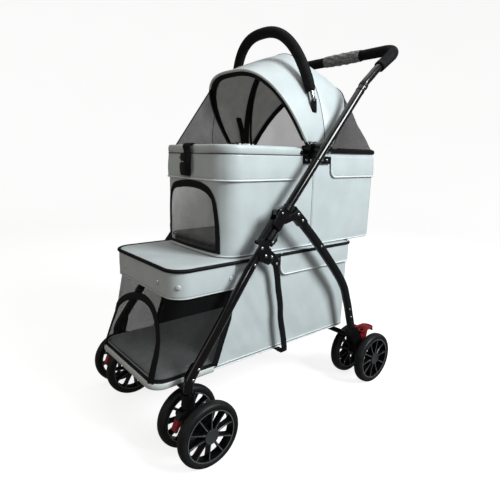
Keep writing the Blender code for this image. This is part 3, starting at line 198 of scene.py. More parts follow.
GREY = leather("grey_leather", (0.560, 0.620, 0.640), (0.500, 0.556, 0.574))
GREY_TRIM = leather("grey_trim_leather", (0.600, 0.640, 0.640), (0.530, 0.570, 0.572))
PIPING = leather("pale_piping", (0.82, 0.85, 0.86), (0.74, 0.78, 0.79))
# The two linings glow. This is painted light for what comes in through the thin cloth and the openings, and the
# carrier's lining glows far more than the canopy's
PAINTED_GLOW_TINT = (1.0, 0.99, 0.96, 1)
LINING = woven("grey_lining_painted_glow", (0.460, 0.460, 0.445), (0.370, 0.370, 0.360), 0.0009, Emission_Color=PAINTED_GLOW_TINT,
               Emission_Strength=0.03)
CABIN_LINING_PAINTED_GLOW = woven("pale_lining_painted_glow", (0.640, 0.640, 0.630), (0.540, 0.540, 0.530), 0.0009, Emission_Color=PAINTED_GLOW_TINT,
                     Emission_Strength=0.26)
DARK_LINING = woven("dark_lining", (0.050, 0.051, 0.053), (0.034, 0.035, 0.036), 0.0009)
PAD = woven("dark_pad_cloth", (0.290, 0.300, 0.300), (0.220, 0.228, 0.228), 0.0011, 0.3, 0.45)
# The lower cushion's grey cloth is made paler than the carrier pad's and glows faintly. Both are painted light for what
# reaches the floor through the nets
FLOOR_PAD_PAINTED_LIGHT = woven("floor_pad_cloth_painted_light", (0.560, 0.590, 0.600), (0.460, 0.484, 0.492), 0.0011, 0.25, 0.34,
                  Emission_Color=(0.95, 1.0, 1.0, 1), Emission_Strength=0.05)
TAPE = woven("black_webbing", (0.004, 0.004, 0.005), (0.002, 0.002, 0.003), 0.0013, 0.5, 0.66, 0.0,
             Specular_IOR_Level=0.18)
NET = net("black_net", (0.006, 0.006, 0.007), 0.20, 0.46)
SIDE_NET = net("black_side_net", (0.010, 0.010, 0.012), 0.44, 0.70)
GLOSS = plastic("gloss_black_paint", (0.003, 0.003, 0.004), (0.002, 0.002, 0.003), (0.12, 0.20), 500.0, 0.03,
                Specular_IOR_Level=0.30, Coat_Weight=0.3, Coat_Roughness=0.05)
SATIN = plastic("satin_black_plastic", (0.006, 0.006, 0.007), (0.003, 0.003, 0.004), (0.26, 0.40),
                Specular_IOR_Level=0.20)
SATIN_TUBE = plastic("satin_black_tube", (0.006, 0.007, 0.009), (0.004, 0.005, 0.006), (0.14, 0.20), 900.0, 0.04,
                     Specular_IOR_Level=0.25, Coat_Weight=0.08, Coat_Roughness=0.1)
RIM = plastic("rim_black_plastic", (0.004, 0.004, 0.005), (0.003, 0.003, 0.004), (0.22, 0.34), 1400.0, 0.06,
              Specular_IOR_Level=0.22)
HUB = plastic("hub_grey_plastic", (0.034, 0.038, 0.041), (0.024, 0.027, 0.030), (0.36, 0.48))
# A pale grey that paints highlight lines onto the wheels' black spoke ridges and band lips
PAINTED_HIGHLIGHT_GREY = plastic("painted_highlight_grey_plastic", (0.110, 0.118, 0.122), (0.080, 0.086, 0.090), (0.30, 0.42))
RED = plastic("red_plastic", (0.220, 0.007, 0.011), (0.160, 0.005, 0.008), (0.22, 0.34), 900.0, 0.08, Coat_Weight=0.3)
STEEL = plastic("zinc_steel", (0.62, 0.63, 0.65), (0.50, 0.51, 0.53), (0.22, 0.36), 700.0, 0.08, Metallic=1.0)
CHROME = plastic("chromed_steel", (0.75, 0.76, 0.78), (0.68, 0.69, 0.71), (0.06, 0.12), 300.0, 0.02, Metallic=1.0)
PEARL = plastic("pearl_snap", (0.62, 0.66, 0.68), (0.54, 0.58, 0.60), (0.16, 0.24), 400.0, 0.03, Coat_Weight=0.8)
FOAM = foam("black_foam", (0.008, 0.008, 0.009), (0.003, 0.003, 0.004))
RUBBER = rubber("tyre_rubber", (0.013, 0.013, 0.013), (0.005, 0.006, 0.007))
FILM = wrap_film("clear_film", (0.34, 0.34, 0.35), (0.16, 0.16, 0.165))
THREAD = woven("grey_thread", (0.40, 0.44, 0.45), (0.33, 0.36, 0.37), 0.0005)
DARK_THREAD = woven("black_thread", (0.010, 0.010, 0.011), (0.006, 0.006, 0.007), 0.0005)


# ---------------------------------------------------------------- mesh helpers
def unit(vectors):
    return vectors / np.maximum(np.linalg.norm(vectors, axis=-1, keepdims=True), 1e-12)


def crease_ends(piece, angle):
    piece.data.set_sharp_from_angle(angle=math.radians(angle))


def recalculated(piece):
    """Merges doubles and turns the faces outwards."""
    bm = bmesh.new()
    bm.from_mesh(piece.data)
    bmesh.ops.remove_doubles(bm, verts=bm.verts, dist=1e-6)
    bmesh.ops.recalc_face_normals(bm, faces=bm.faces)
    bm.to_mesh(piece.data)
    bm.free()
    crease_ends(piece, 34)


def new_piece(name, verts, faces, finishes, body="chassis", node=None, crease=None, solid=False, indices=None):
    """A piece that rides on the body and stands for the node; with no name it is a part, to be joined."""
    mesh = bpy.data.meshes.new(name or "part")
    mesh.from_pydata([tuple(map(float, v)) for v in verts], [], [tuple(map(int, f)) for f in faces])
    made = bpy.data.objects.new(name or "part", mesh)
    bpy.context.scene.collection.objects.link(made)
    finishes = finishes if isinstance(finishes, (list, tuple)) else [finishes]
    for finish in finishes:
        mesh.materials.append(finish)
    if indices is not None:
        mesh.polygons.foreach_set("material_index", np.asarray(indices, np.int32))
    mesh.shade_smooth()
    mesh.update()
    if solid:
        recalculated(made)
    if crease:
        crease_ends(made, crease)
    if name and body:
        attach(made, body)
    if node:
        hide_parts(node)
    return made


def grid_faces(rows, columns, wrap=False, offset=0):
    across = np.arange(columns if wrap else columns - 1)
    a = offset + np.arange(rows - 1)[:, None] * columns + across
    b = offset + np.arange(rows - 1)[:, None] * columns + (across + 1) % columns
    return np.stack([a, b, b + columns, a + columns], -1).reshape(-1, 4)


def capped_faces(rows, columns, offset=0):
    """Rings joined one to the next, with a face on the first and on the last."""
    last = offset + (rows - 1) * columns
    ends = [range(offset, offset + columns)[::-1], range(last, last + columns)]
    return [*grid_faces(rows, columns, True, offset), *ends]


def grid_normals(points, wrap, inside):
    if wrap:
        across = np.roll(points, -1, 1) - np.roll(points, 1, 1)
    else:
        across = np.gradient(points, axis=1)
    normals = unit(np.cross(across, np.gradient(points, axis=0)))
    facing = ((points - np.asarray(inside)) * normals).sum(-1).mean()
    return normals if facing > 0 else -normals, facing > 0


def shell(name, points, thickness, finishes, inside, held=None, rests_on=None, wrap=False, **more):
    """A closed sheet of cloth with that wall: the grid is its outer face, the second finish its inner one."""
    rows, columns = points.shape[:2]
    normals, outward = grid_normals(points, wrap, inside)
    count = rows * columns
    outer = grid_faces(rows, columns, wrap)
    inner = grid_faces(rows, columns, wrap, count)
    outer, inner = (outer, inner[:, ::-1]) if outward else (outer[:, ::-1], inner)
    ring = np.arange(count).reshape(rows, columns)
    if wrap:
        loops = [[*ring[0]], [*ring[-1, ::-1]]]
    else:
        loops = [[*ring[0], *ring[1:, -1], *ring[-1, -2::-1], *ring[-2:0:-1, 0]]]
    rim = [(b, a, a + count, b + count)[:: 1 if outward else -1]
           for loop in loops for a, b in zip(loop, loop[1:] + loop[:1])]
    verts = np.concatenate([points.reshape(-1, 3), (points - normals * thickness).reshape(-1, 3)])
    indices = [0] * len(outer) + [1] * len(inner) + [0] * len(rim)
    finishes = finishes if isinstance(finishes, (list, tuple)) else [finishes, finishes]
    made = new_piece(name, verts, [*outer, *inner, *rim], finishes, indices=indices, **more)
    return made


def smooth_path(points, steps):
    """A Catmull-Rom curve through the points."""
    p = np.asarray(points, float)
    p = np.concatenate([2 * p[:1] - p[1:2], p, 2 * p[-1:] - p[-2:-1]])
    found = []
    for a, b, c, d in zip(p, p[1:], p[2:], p[3:]):
        for t in np.arange(steps) / steps:
            bend = (2 * a - 5 * b + 4 * c - d) * t * t + (3 * b - a - 3 * c + d) * t**3
            found.append((2 * b + (c - a) * t + bend) / 2)
    return np.array([*found, p[-2]])


def walked(path):
    """The length walked along the path at each of its points."""
    return np.concatenate([[0], np.cumsum(np.linalg.norm(np.diff(path, axis=0), axis=1))])


def at_walk(where, walk, values):
    return np.stack([np.interp(where, walk, values[:, k]) for k in range(3)], 1)


def even(path, count):
    path = np.asarray(path, float)
    walk = walked(path)
    return at_walk(np.linspace(0, walk[-1], count), walk, path)


def ringed(points, count):
    """The closed outline at even steps, its first point not repeated."""
    return even([*points, points[0]], count + 1)[:-1]


def tangents(path, closed=False):
    if closed:
        return unit(np.roll(path, -1, 0) - np.roll(path, 1, 0))
    return unit(np.gradient(path, axis=0))


def frames(path, closed):
    """Two directions across the path at each point, carried along it without twist."""
    slope = tangents(path, closed)
    first = np.array((0.0, 0.0, 1.0) if abs(slope[0, 2]) <= 0.95 else (1.0, 0.0, 0.0))
    sides = [unit(first - (first @ slope[0]) * slope[0])]
    for t in slope:
        sides.append(unit(sides[-1] - (sides[-1] @ t) * t))
    return np.array(sides[1:]), np.cross(slope, sides[1:])


def sweep(name, path, section, finish=SATIN, closed=False, normals=None, scales=None, **more):
    """A closed solid of one cross-section, given as (across, outward) offsets, along the path."""
    path, section = np.asarray(path, float), np.asarray(section, float)
    if normals is None:
        outward, across = frames(path, closed)
    else:
        slope = tangents(path, closed)
        outward = unit(normals - (normals * slope).sum(-1, keepdims=True) * slope)
        across = np.cross(slope, outward)
    scales = np.ones(len(path)) if scales is None else np.asarray(scales, float)
    rings = (
        path[:, None, :]
        + section[None, :, 0, None] * scales[:, None, None] * across[:, None, :]
        + section[None, :, 1, None] * scales[:, None, None] * outward[:, None, :]
    )
    rows, columns = rings.shape[:2]
    faces = grid_faces(rows + 1, columns, True) % (rows * columns) if closed else capped_faces(rows, columns)
    if np.sum(section[:, 0] * np.roll(section[:, 1], -1) - np.roll(section[:, 0], -1) * section[:, 1]) > 0:
        faces = [f[::-1] for f in faces]
    return new_piece(name, rings.reshape(-1, 3), faces, finish, **more)


def disc(radius, sides=20, power=2.0):
    """A round section, or a squarer one where power is over 2; radius may be (across, outward)."""
    turn = np.arange(sides) * 2 * math.pi / sides
    arcs = np.stack([np.cos(turn), np.sin(turn)], 1)
    return np.sign(arcs) * np.abs(arcs) ** (2 / power) * np.asarray(radius)


def tape_section(width, thickness):
    w, t = width / 2, thickness
    e = min(0.3 * width, t * 0.8)
    return [(-w, 0), (-w, t * 0.5), (-w + e, t), (w - e, t), (w, t * 0.5), (w, 0),
            (w - e, -t * 0.2), (-w + e, -t * 0.2)]


def tape(name, path, normals, width, thickness, finish=TAPE):
    return sweep(name, path, tape_section(width, thickness), finish, normals=normals, crease=50)


def tube(name, path, radius, finish=SATIN, closed=False, sides=20, scales=None, crease=40, **more):
    """A round tube whose ends are rounded over."""
    path = np.asarray(path, float)
    if closed:
        return sweep(name, path, disc(radius, sides), finish, True, **more)
    lip = min(radius * 0.12, np.linalg.norm(path[1] - path[0]) * 0.4)
    first = path[0] + unit(path[1] - path[0]) * lip
    last = path[-1] + unit(path[-2] - path[-1]) * lip
    path = np.concatenate([path[:1], [first], path[1:-1], [last], path[-1:]])
    scales = np.ones(len(path) - 2) if scales is None else scales
    scales = np.concatenate([[scales[0] * 0.88], scales, [scales[-1] * 0.88]])
    return sweep(name, path, disc(radius, sides), finish, scales=scales, crease=crease, **more)


def stitches(name, path, normals, pitch=0.0042, length=0.0029):
    """A row of thread stitches that lie on a surface along the path."""
    radius, lift = 0.00042, 0.0002
    walk = walked(path)
    centres = np.arange(pitch, walk[-1] - pitch / 2, pitch)
    middles = at_walk(centres, walk, path)
    directions = unit(at_walk(centres + 0.001, walk, path) - at_walk(centres - 0.001, walk, path))
    ups = unit(at_walk(centres, walk, normals))
    verts, faces = [], []
    ring = [(0, 1), (0.87, 0.5), (0.87, -0.5), (0, -1), (-0.87, -0.5), (-0.87, 0.5)]
    for m, d, n, w in zip(middles, directions, ups, np.cross(directions, ups)):
        faces += capped_faces(4, 6, len(verts))
        for share, size in ((-0.5, 0.35), (-0.32, 1.0), (0.32, 1.0), (0.5, 0.35)):
            arch_lift = lift + radius * (0.6 if abs(share) < 0.4 else 0.0)
            verts += [m + d * share * length + w * a * radius * size + n * (arch_lift + b * radius * size)
                      for a, b in ring]
    return new_piece(name, verts, faces, THREAD)


def revolve(profile, segments, closed=True):
    """A profile of (radius, x) points turned about X at the origin, as vertices and faces."""
    profile = np.asarray(profile, float)
    turn = np.arange(segments)[:, None] * 2 * math.pi / segments
    radius, x = profile.T
    verts = np.stack([x + 0 * turn, radius * np.cos(turn), radius * np.sin(turn)], -1).reshape(-1, 3)
    return verts, grid_faces(segments + 1, len(profile), closed) % len(verts)


def dome(name, centre, normal, radius, rise, finish=STEEL, body="chassis", sides=20):
    """A rivet or snap head: a low dome on a collar."""
    normal = unit(np.asarray(normal, float))
    side = unit(np.cross(normal, (0.13, 0.31, 0.94)))
    turn = np.arange(sides)[:, None] * 2 * math.pi / sides
    circle = radius * (np.cos(turn) * side + np.sin(turn) * np.cross(normal, side))
    profile = [(1.0, -0.25), (1.0, 0.25), (0.93, 0.55), (0.72, 0.86), (0.38, 1.0), (0.12, 1.03)]
    verts = np.concatenate([centre + circle * share + normal * rise * height for share, height in profile])
    return new_piece(name, verts, capped_faces(len(profile), sides), finish, body)


def joined(name, parts, crease, **more):
    """One piece of several parts."""
    verts, faces, indices, finishes = [], [], [], []
    for part in parts:
        offset = len(verts)
        verts += [part.matrix_world @ v.co for v in part.data.vertices]
        for polygon in part.data.polygons:
            faces.append([offset + v for v in polygon.vertices])
            finish = part.data.materials[polygon.material_index]
            if finish not in finishes:
                finishes.append(finish)
            indices.append(finishes.index(finish))
        bpy.data.objects.remove(part)
    return new_piece(name, verts, faces, finishes, indices=indices, crease=crease, **more)


def applied(piece):
    """Gives the piece the mesh that its modifiers make."""
    bpy.context.view_layer.update()
    mesh = bpy.data.meshes.new_from_object(piece.evaluated_get(bpy.context.evaluated_depsgraph_get()))
    piece.modifiers.clear()
    piece.data = mesh


def cut_out(piece, outline, low_y, high_y):
    """Cuts a prism of that (x, z) outline along Y out of the piece."""
    verts = [(x, y, z) for y in (low_y, high_y) for x, z in outline]
    tool = new_piece(None, verts, capped_faces(2, len(outline)), GREY, solid=True)
    fill(piece.modifiers.new("cut", "BOOLEAN"), dict(operation="DIFFERENCE", solver="EXACT", object=tool))
    applied(piece)
    bpy.data.objects.remove(tool)


def along(s, t=0.0):
    """The (y, z) point s along the push tube from the fold joint and t across it, towards the front."""
    c, n = math.cos(SLOPE), math.sin(SLOPE)
    return np.array((JOINT[0] + s * c - t * n, JOINT[1] + s * n + t * c))


def at_x(x, *points):
    """The (y, z) points at that x, or the one point."""
    found = np.array([(x, y, z) for y, z in points])
    return found if len(points) > 1 else found[0]


def run(x, low, high, count, t=0.0):
    """Points at x from low to high along the push tube's line."""
    return at_x(x, *(along(s, t) for s in np.linspace(low, high, count)))


# ---------------------------------------------------------------- plans and sewn surfaces
def loop_plan(half, front, rear, front_corner, rear_corner, arc=14):
    """The closed plan outline, from the rear middle round by +X, the front and -X."""
    found = [(0.0, rear)]
    for x, y, r, start in (
        (half - rear_corner, rear - rear_corner, rear_corner, 90),
        (half - front_corner, front + front_corner, front_corner, 0),
        (-half + front_corner, front + front_corner, front_corner, -90),
        (-half + rear_corner, rear - rear_corner, rear_corner, -180),
    ):
        turns = [math.radians(start - 90 * step / arc) for step in range(arc + 1)]
        found += [(x + r * math.cos(a), y + r * math.sin(a)) for a in turns]
    return np.array([*found, (0.0, rear)])


class Wall:
    """A sewn wall: u is the share of the way round its plan, v the height; swell moves it outwards."""

    def __init__(self, plan_at, swell=None):
        self.plan_at, self.swell, self.kept = plan_at, swell, {}

    def plan(self, z):
        key = round(float(z), 5)
        if key not in self.kept:
            outline = self.plan_at(key)
            walk = walked(outline)
            self.kept[key] = (outline, walk / walk[-1], walk[-1])
        return self.kept[key]

    def bare(self, u, v):
        u, v = np.broadcast_arrays(np.asarray(u, float), np.asarray(v, float))
        flat_u, flat_v = u.ravel() % 1.0, np.round(v.ravel(), 5)
        found = np.zeros((len(flat_u), 3))
        for z in np.unique(flat_v):
            pick = flat_v == z
            outline, share, _ = self.plan(z)
            for k in (0, 1):
                found[pick, k] = np.interp(flat_u[pick], share, outline[:, k])
            found[pick, 2] = z
        return found.reshape(*u.shape, 3)

    def side(self, u, v):
        """Outward direction of the plan, level."""
        t = unit(self.bare(np.asarray(u) + 0.0015, v) - self.bare(np.asarray(u) - 0.0015, v))
        return np.stack([-t[..., 1], t[..., 0], np.zeros_like(t[..., 0])], -1)

    def at(self, u, v, lift=0.0):
        points = self.bare(u, v)
        amount = np.broadcast_to(lift + (self.swell(points) if self.swell else 0.0), points.shape[:-1])
        return points + self.side(u, v) * amount[..., None]

    def u_of_y(self, y, z, side):
        """u where the wall passes y on the +X (1) or -X (-1) side."""
        outline, share, _ = self.plan(z)
        half = len(outline) // 2 + 1
        u = np.interp(-y, -outline[:half, 1], share[:half])
        return u if side > 0 else 1 - u

    def both_u(self, y, z):
        return [self.u_of_y(y, z, side) for side in (1, -1)]

    def u_of_x(self, x, z):
        """u where the wall's front passes x."""
        outline, share, _ = self.plan(z)
        front = outline[:, 1] < outline[:, 1].min() + 0.079
        order = np.argsort(outline[front, 0])
        return np.interp(x, outline[front, 0][order], share[front][order])

    def on(self, u, v, lift):
        """Points lifted off the wall along its true normal, and those normals."""
        u, v = np.broadcast_arrays(np.asarray(u, float), np.asarray(v, float))
        rise = self.at(u, v + 0.002) - self.at(u, v - 0.002)
        normals = unit(np.cross(rise, self.at(u + 0.002, v) - self.at(u - 0.002, v)))
        normals = np.where((normals * self.side(u, v)).sum(-1, keepdims=True) < 0, -normals, normals)
        return self.at(u, v) + normals * lift, normals

    def path(self, u, v, lift, step=0.004):
        """The path through (u, v) points at even steps, lifted off the wall, and its normals."""
        u, v = np.broadcast_arrays(np.asarray(u, float), np.asarray(v, float))
        walk = walked(self.at(u, v))
        keep = np.concatenate([[True], np.diff(walk) > 1e-7])
        where = np.linspace(0, walk[-1], max(int(walk[-1] / step), 8))
        return self.on(np.interp(where, walk[keep], u[keep]), np.interp(where, walk[keep], v[keep]), lift)


def fold(points, seed, scale):
    """Smooth noise at each point, the same on every run."""
    flat = points.reshape(-1, 3)
    found = [noise.noise(Vector((p[0] * scale[0] + seed, p[1] * scale[1], p[2] * scale[2]))) for p in flat]
    return np.array(found).reshape(points.shape[:-1])


def ease(value, low, high):
    t = np.clip((value - low) / (high - low), 0, 1)
    return t * t * (3 - 2 * t)


def basket_front(z):
    return float(np.interp(z, (0.1745, 0.188, 0.272, 0.379, 0.445), (-0.4015, -0.3985, -0.366, -0.3435, -0.343)))


def basket_swell(points):
    """The lower cabin's side panels sag out near the floor and pull in along creases."""
    y, z = points[..., 1], points[..., 2]
    held = np.minimum(ease(z, 0.176, 0.215), ease(-z, -0.449, -0.400))
    belly = 0.0035 * np.sin(np.pi * np.clip((z - 0.176) / 0.27, 0, 1)) * ease(y, -0.26, -0.05)
    slant = np.stack([points[..., 0], y + 0.55 * z, z], -1)
    creases = 0.0042 * fold(slant, 3.1, (2.0, 13.0, 2.0)) + 0.0016 * fold(slant, 8.7, (4.0, 30.0, 4.0))
    grey = ease(y, -0.24, -0.16)
    return held * (belly + creases * grey + 0.0012 * fold(points, 5.5, (12, 12, 9)) * (1 - grey))


def carrier_swell(points):
    """The soft front bows out a little, and the walls between their seams."""
    x, y, z = points[..., 0], points[..., 1], points[..., 2]
    bow = 0.006 * np.clip(1 - (np.abs(x) / 0.125) ** 3, 0, 1) * (y < 0)
    held = np.minimum(ease(z, 0.451, 0.475), ease(-z, -0.700, -0.655))
    return bow + held * (0.0014 + 0.0016 * fold(points, 1.7, (6, 6, 4)) + 0.0006 * fold(points, 9.2, (16, 16, 10)))


BASKET_WALL = Wall(lambda z: loop_plan(front=basket_front(z), **BASKET), basket_swell)
DECK_WALL = Wall(lambda z: loop_plan(**DECK))
CARRIER_WALL = Wall(lambda z: loop_plan(**CARRIER), carrier_swell)


def spans(low, high, count, ends=0.0):
    """Evenly spaced values, closer together at both ends where ends is over 0."""
    t = np.linspace(0, 1, count)
    t = (1 - ends) * t + ends * (0.5 - 0.5 * np.cos(np.pi * t))
    return low + (high - low) * t


def trim(name, line, section, finish, **more):
    """A cord, seam or band along a line of (points, normals)."""
    return sweep(name, line[0], section, finish, normals=line[1], **more)


def flap(name, wall, u0, u1, low, top, lift, thickness, corner, columns, rows, rests_on, edge=None):
    """A band of leather over a wall, its lower corners rounded, with piping of edge (radius, lift) round it."""
    us = spans(u0, u1, columns, 0.55)
    middle = (low + top) / 2
    lows = np.full(columns, low)
    for walk in (np.abs(us - u0), np.abs(us - u1)) if corner else ():
        near = walk * wall.plan(middle)[2] < corner
        rise = corner - np.sqrt(np.maximum(corner**2 - (corner - walk[near] * wall.plan(middle)[2]) ** 2, 0))
        lows[near] = np.maximum(lows[near], low + rise)
    grid = np.array([wall.at(us, lows + (top - lows) * share, lift + 0.0010 * math.sin(math.pi * share))
                     for share in np.linspace(0, 1, rows)])
    shell(name, grid, thickness, GREY, (0, 0, middle), "hung", rests_on)
    if edge:
        border = wall.path([us[0], *us, us[-1]], [top, *lows, top], edge[1], 0.003)
        trim(edge[2], border, disc(edge[0], 12), PIPING)


def plan_plate(name, outline, levels, finish, **more):
    """A solid on a plan: levels are (inset towards the middle, height); it closes with a fan at both ends."""
    outline = outline[:-1]
    middle, count = outline.mean(0), len(outline)
    slope = unit(np.roll(outline, -1, 0) - np.roll(outline, 1, 0))
    inward = np.stack([slope[:, 1], -slope[:, 0]], 1)
    inward = inward * np.sign(((middle - outline) * inward).sum(1).mean())
    verts = [(x, y, z) for inset, z in levels for x, y in outline + inward * inset]
    faces = [*grid_faces(len(levels), count, True)]
    for row, turn in ((0, -1), (len(levels) - 1, 1)):
        verts.append((*middle, levels[row][1]))
        faces += [(row * count + k, row * count + (k + 1) % count, len(verts) - 1)[::turn] for k in range(count)]
    return new_piece(name, verts, faces, finish, solid=True, **more)


def hull_outline(*discs):
    """The convex outline round discs of (y, z, radius), anticlockwise."""
    turn = np.arange(40) * 2 * math.pi / 40
    points = np.concatenate([np.array((y, z)) + r * np.stack([np.cos(turn), np.sin(turn)], 1) for y, z, r in discs])
    points = points[np.lexsort((points[:, 1], points[:, 0]))]
    chains = []
    for order in (points, points[::-1]):
        chain = []
        for p in order:
            while len(chain) > 1 and np.cross(chain[-1] - chain[-2], p - chain[-2]) <= 0:
                chain.pop()
            chain.append(p)
        chains += chain[:-1]
    return np.array(chains)


def plate_piece(name, outline, low, high, finish=SATIN, edge=0.0010, **more):
    """A flat plate across X with its edges rounded over."""
    low, high = sorted((low, high))
    slope = unit(np.roll(outline, -1, 0) - np.roll(outline, 1, 0))
    inward = np.stack([-slope[:, 1], slope[:, 0]], 1)
    levels = [(1, low), (0.3, low + 0.3 * edge), (0, low + edge), (0, high - edge), (0.3, high - 0.3 * edge), (1, high)]
    verts = [(x, y, z) for share, x in levels for y, z in outline + inward * share * edge]
    return new_piece(name, verts, capped_faces(len(levels), len(outline)), finish, solid=True, **more)


# ---------------------------------------------------------------- camera, light and floor
PHOTO_TURN, PHOTO_PITCH, PHOTO_ROLL = (math.radians(angle) for angle in (49.917, 12.584, 1.215))
PHOTO_PLACE = (0.9576, -0.7916, 0.6994)


def linked(name, data):
    made = bpy.data.objects.new(name, data)
    bpy.context.scene.collection.objects.link(made)
    return made


def add_camera():
    """The photograph's view: its place, its turn and its lens, with the small shift that its crop needs."""
    level = math.cos(PHOTO_PITCH)
    back = Vector((math.sin(PHOTO_TURN) * level, -math.cos(PHOTO_TURN) * level, math.sin(PHOTO_PITCH)))
    right = Vector((math.cos(PHOTO_TURN), math.sin(PHOTO_TURN), 0))
    up, c, s = back.cross(right), math.cos(PHOTO_ROLL), math.sin(PHOTO_ROLL)
    data = fill(bpy.data.cameras.new("camera"), dict(sensor_width=36.0, lens=30.63, shift_x=-0.00574, shift_y=0.00146))
    camera = linked("camera", data)
    turn = Matrix((right * c + up * s, up * c - right * s, back)).transposed().to_4x4()
    camera.matrix_world = Matrix.Translation(PHOTO_PLACE) @ turn
    bpy.context.scene.camera = camera


def add_stage():
    """A pale round floor, a backdrop that rises from it on every side, and the lights."""
    pale = Finish("pale_floor", (0.33,) * 3, 0.9, (0.31,) * 3, (1.5, 0.3, 0.7, 1.0), Emission_Color=(1, 1, 1, 1),
                  Emission_Strength=0.84).made
    rise = [(3.4 + 1.6 * math.sin(a), 1.6 - 1.6 * math.cos(a)) for a in np.linspace(0, math.pi / 2, 13)]
    turns = np.linspace(0, 2 * math.pi, 73)
    # They show and take shadows, but throw no light back into the black parts
    for name, profile in (("floor", [(0.0, 0.0), (1.6, 0.0), (3.4, 0.0)]), ("backdrop", rise + [(5.0, 7.0)])):
        verts = [(out * math.cos(a), out * math.sin(a), z) for out, z in profile for a in turns]
        sheet = new_piece(name, verts, grid_faces(len(profile), len(turns)), pale, None)
        sheet.visible_diffuse = sheet.visible_glossy = False
        sheet.visible_shadow = name == "floor"
    world = bpy.data.worlds.new("studio")
    world.use_nodes = True
    fill(world.node_tree.nodes["Background"], dict(Color=(1.0, 0.965, 0.915, 1), Strength=0.16))
    bpy.context.scene.world = world
    for name, place, target, size, power, colour in (
        ("key", (2.6, 0.9, 2.3), (0, 0.05, 0.5), 1.2, 126, (0.955, 1.0, 1.0)),
        ("top", (-0.2, 0.3, 3.0), (0, 0, 0.6), 2.4, 24, (1, 1, 1)),
        ("fill", (-0.6, -3.0, 1.5), (0, 0, 0.5), 1.6, 10, (1.0, 0.86, 0.70)),
        ("glint", (2.5, -1.4, 1.87), (0.1, -0.1, 0.4), 0.3, 7, (1, 1, 1)),
    ):
        lamp = linked(name, fill(bpy.data.lights.new(name, "AREA"), dict(size=size, energy=power, color=colour)))
        lamp.location = place
        lamp.rotation_euler = (Vector(place) - Vector(target)).to_track_quat("Z", "Y").to_euler()


bpy.context.scene.view_settings.view_transform = "Standard"
add_camera()
add_stage()


# ---------------------------------------------------------------- finishes of the CAD pieces that show
def lever_finish():
    """Black plastic with a red grip over its lower part."""
    black = (0.006, 0.006, 0.007)
    made = Finish("lever_plastic", black, 0.24, (0.004, 0.004, 0.005), (25.0, 0.35, 0.75, 3.0))
    made.rough(45.0, 0.24, 0.36)
    made.bump(made.texture("Noise", Scale=900.0, Detail=2.0), 0.08, 0.0002)
    low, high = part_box("swivel_lock_left")
    height = made.node("SeparateXYZ", made.vector).outputs["Z"]
    bands = made.ramp(made.remap(height, low[2], high[2], 0, 1), 0.0, 0.62, ((0.290, 0.008, 0.014), black))
    bands.color_ramp.interpolation = "CONSTANT"
    made.feed("Base Color", bands.outputs["Color"])
    return made.made


def dress(name, finish, bevel=0.0006, angle=32):
    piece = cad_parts[name]
    piece.data.materials.clear()
    piece.data.materials.append(finish)
    piece.data.shade_smooth()
    crease_ends(piece, angle)
    fill(piece.modifiers.new("edge", "BEVEL"), dict(width=bevel, segments=2, limit_method="ANGLE",
                                                    angle_limit=math.radians(angle), harden_normals=True))


LEVER = lever_finish()
for stem, finish in (
    ("front_caster_yoke_{}", SATIN), ("rear_wheel_housing_{}", SATIN), ("swivel_lock_{}", LEVER),
    ("front_leg_{}", GLOSS), ("push_tube_{}", GLOSS), ("axle_front_{}", STEEL), ("axle_rear_{}", STEEL),
    ("front_floor_bar", SATIN), ("canopy_fixed_bows", SATIN), ("canopy_front_bow", SATIN),
    ("rear_cross_tube", SATIN_TUBE),
):
    for name in sorted({stem.format(side) for side, _ in SIDES}):
        dress(name, finish)


# ---------------------------------------------------------------- wheels, turned about X at the origin
# Half profiles of (radius, x); the other half mirrors them
TYRE_HALF = [
    (0.0628, -0.0098), (0.0640, -0.0110), (0.0662, -0.0124), (0.0690, -0.0131), (0.0722, -0.0130),
    (0.0748, -0.0120), (0.0768, -0.0102), (0.0781, -0.0078), (0.0789, -0.0050), (AXLE_Z, -0.0018),
]
BAND_HALF = [
    (0.0590, -0.0085), (0.0596, -0.0114), (0.0606, -0.0121), (0.0630, -0.0122), (0.0640, -0.0117), (0.0638, -0.0105),
    (0.0626, -0.0098),
]
HUB_HALF = [(0.0, -0.0130), (0.0150, -0.0130), (0.0158, -0.0133), (0.0170, -0.0138), (0.0180, -0.0134),
            (0.0185, -0.0124), (0.0187, -0.0100)]
SPOKES = 10
# Along a spoke: radius, half width and depth
SPOKE_RINGS = ((0.0180, 0.0034, 0.0112), (0.0260, 0.0026, 0.0096), (0.0420, 0.0022, 0.0092), (0.0560, 0.0026, 0.0100),
               (0.0598, 0.0040, 0.0110))
SPOKE_FALL, SPOKE_RIDGE = 0.0016, 0.0009


def mirrored_loop(half):
    return half + [(r, -x) for r, x in reversed(half)]


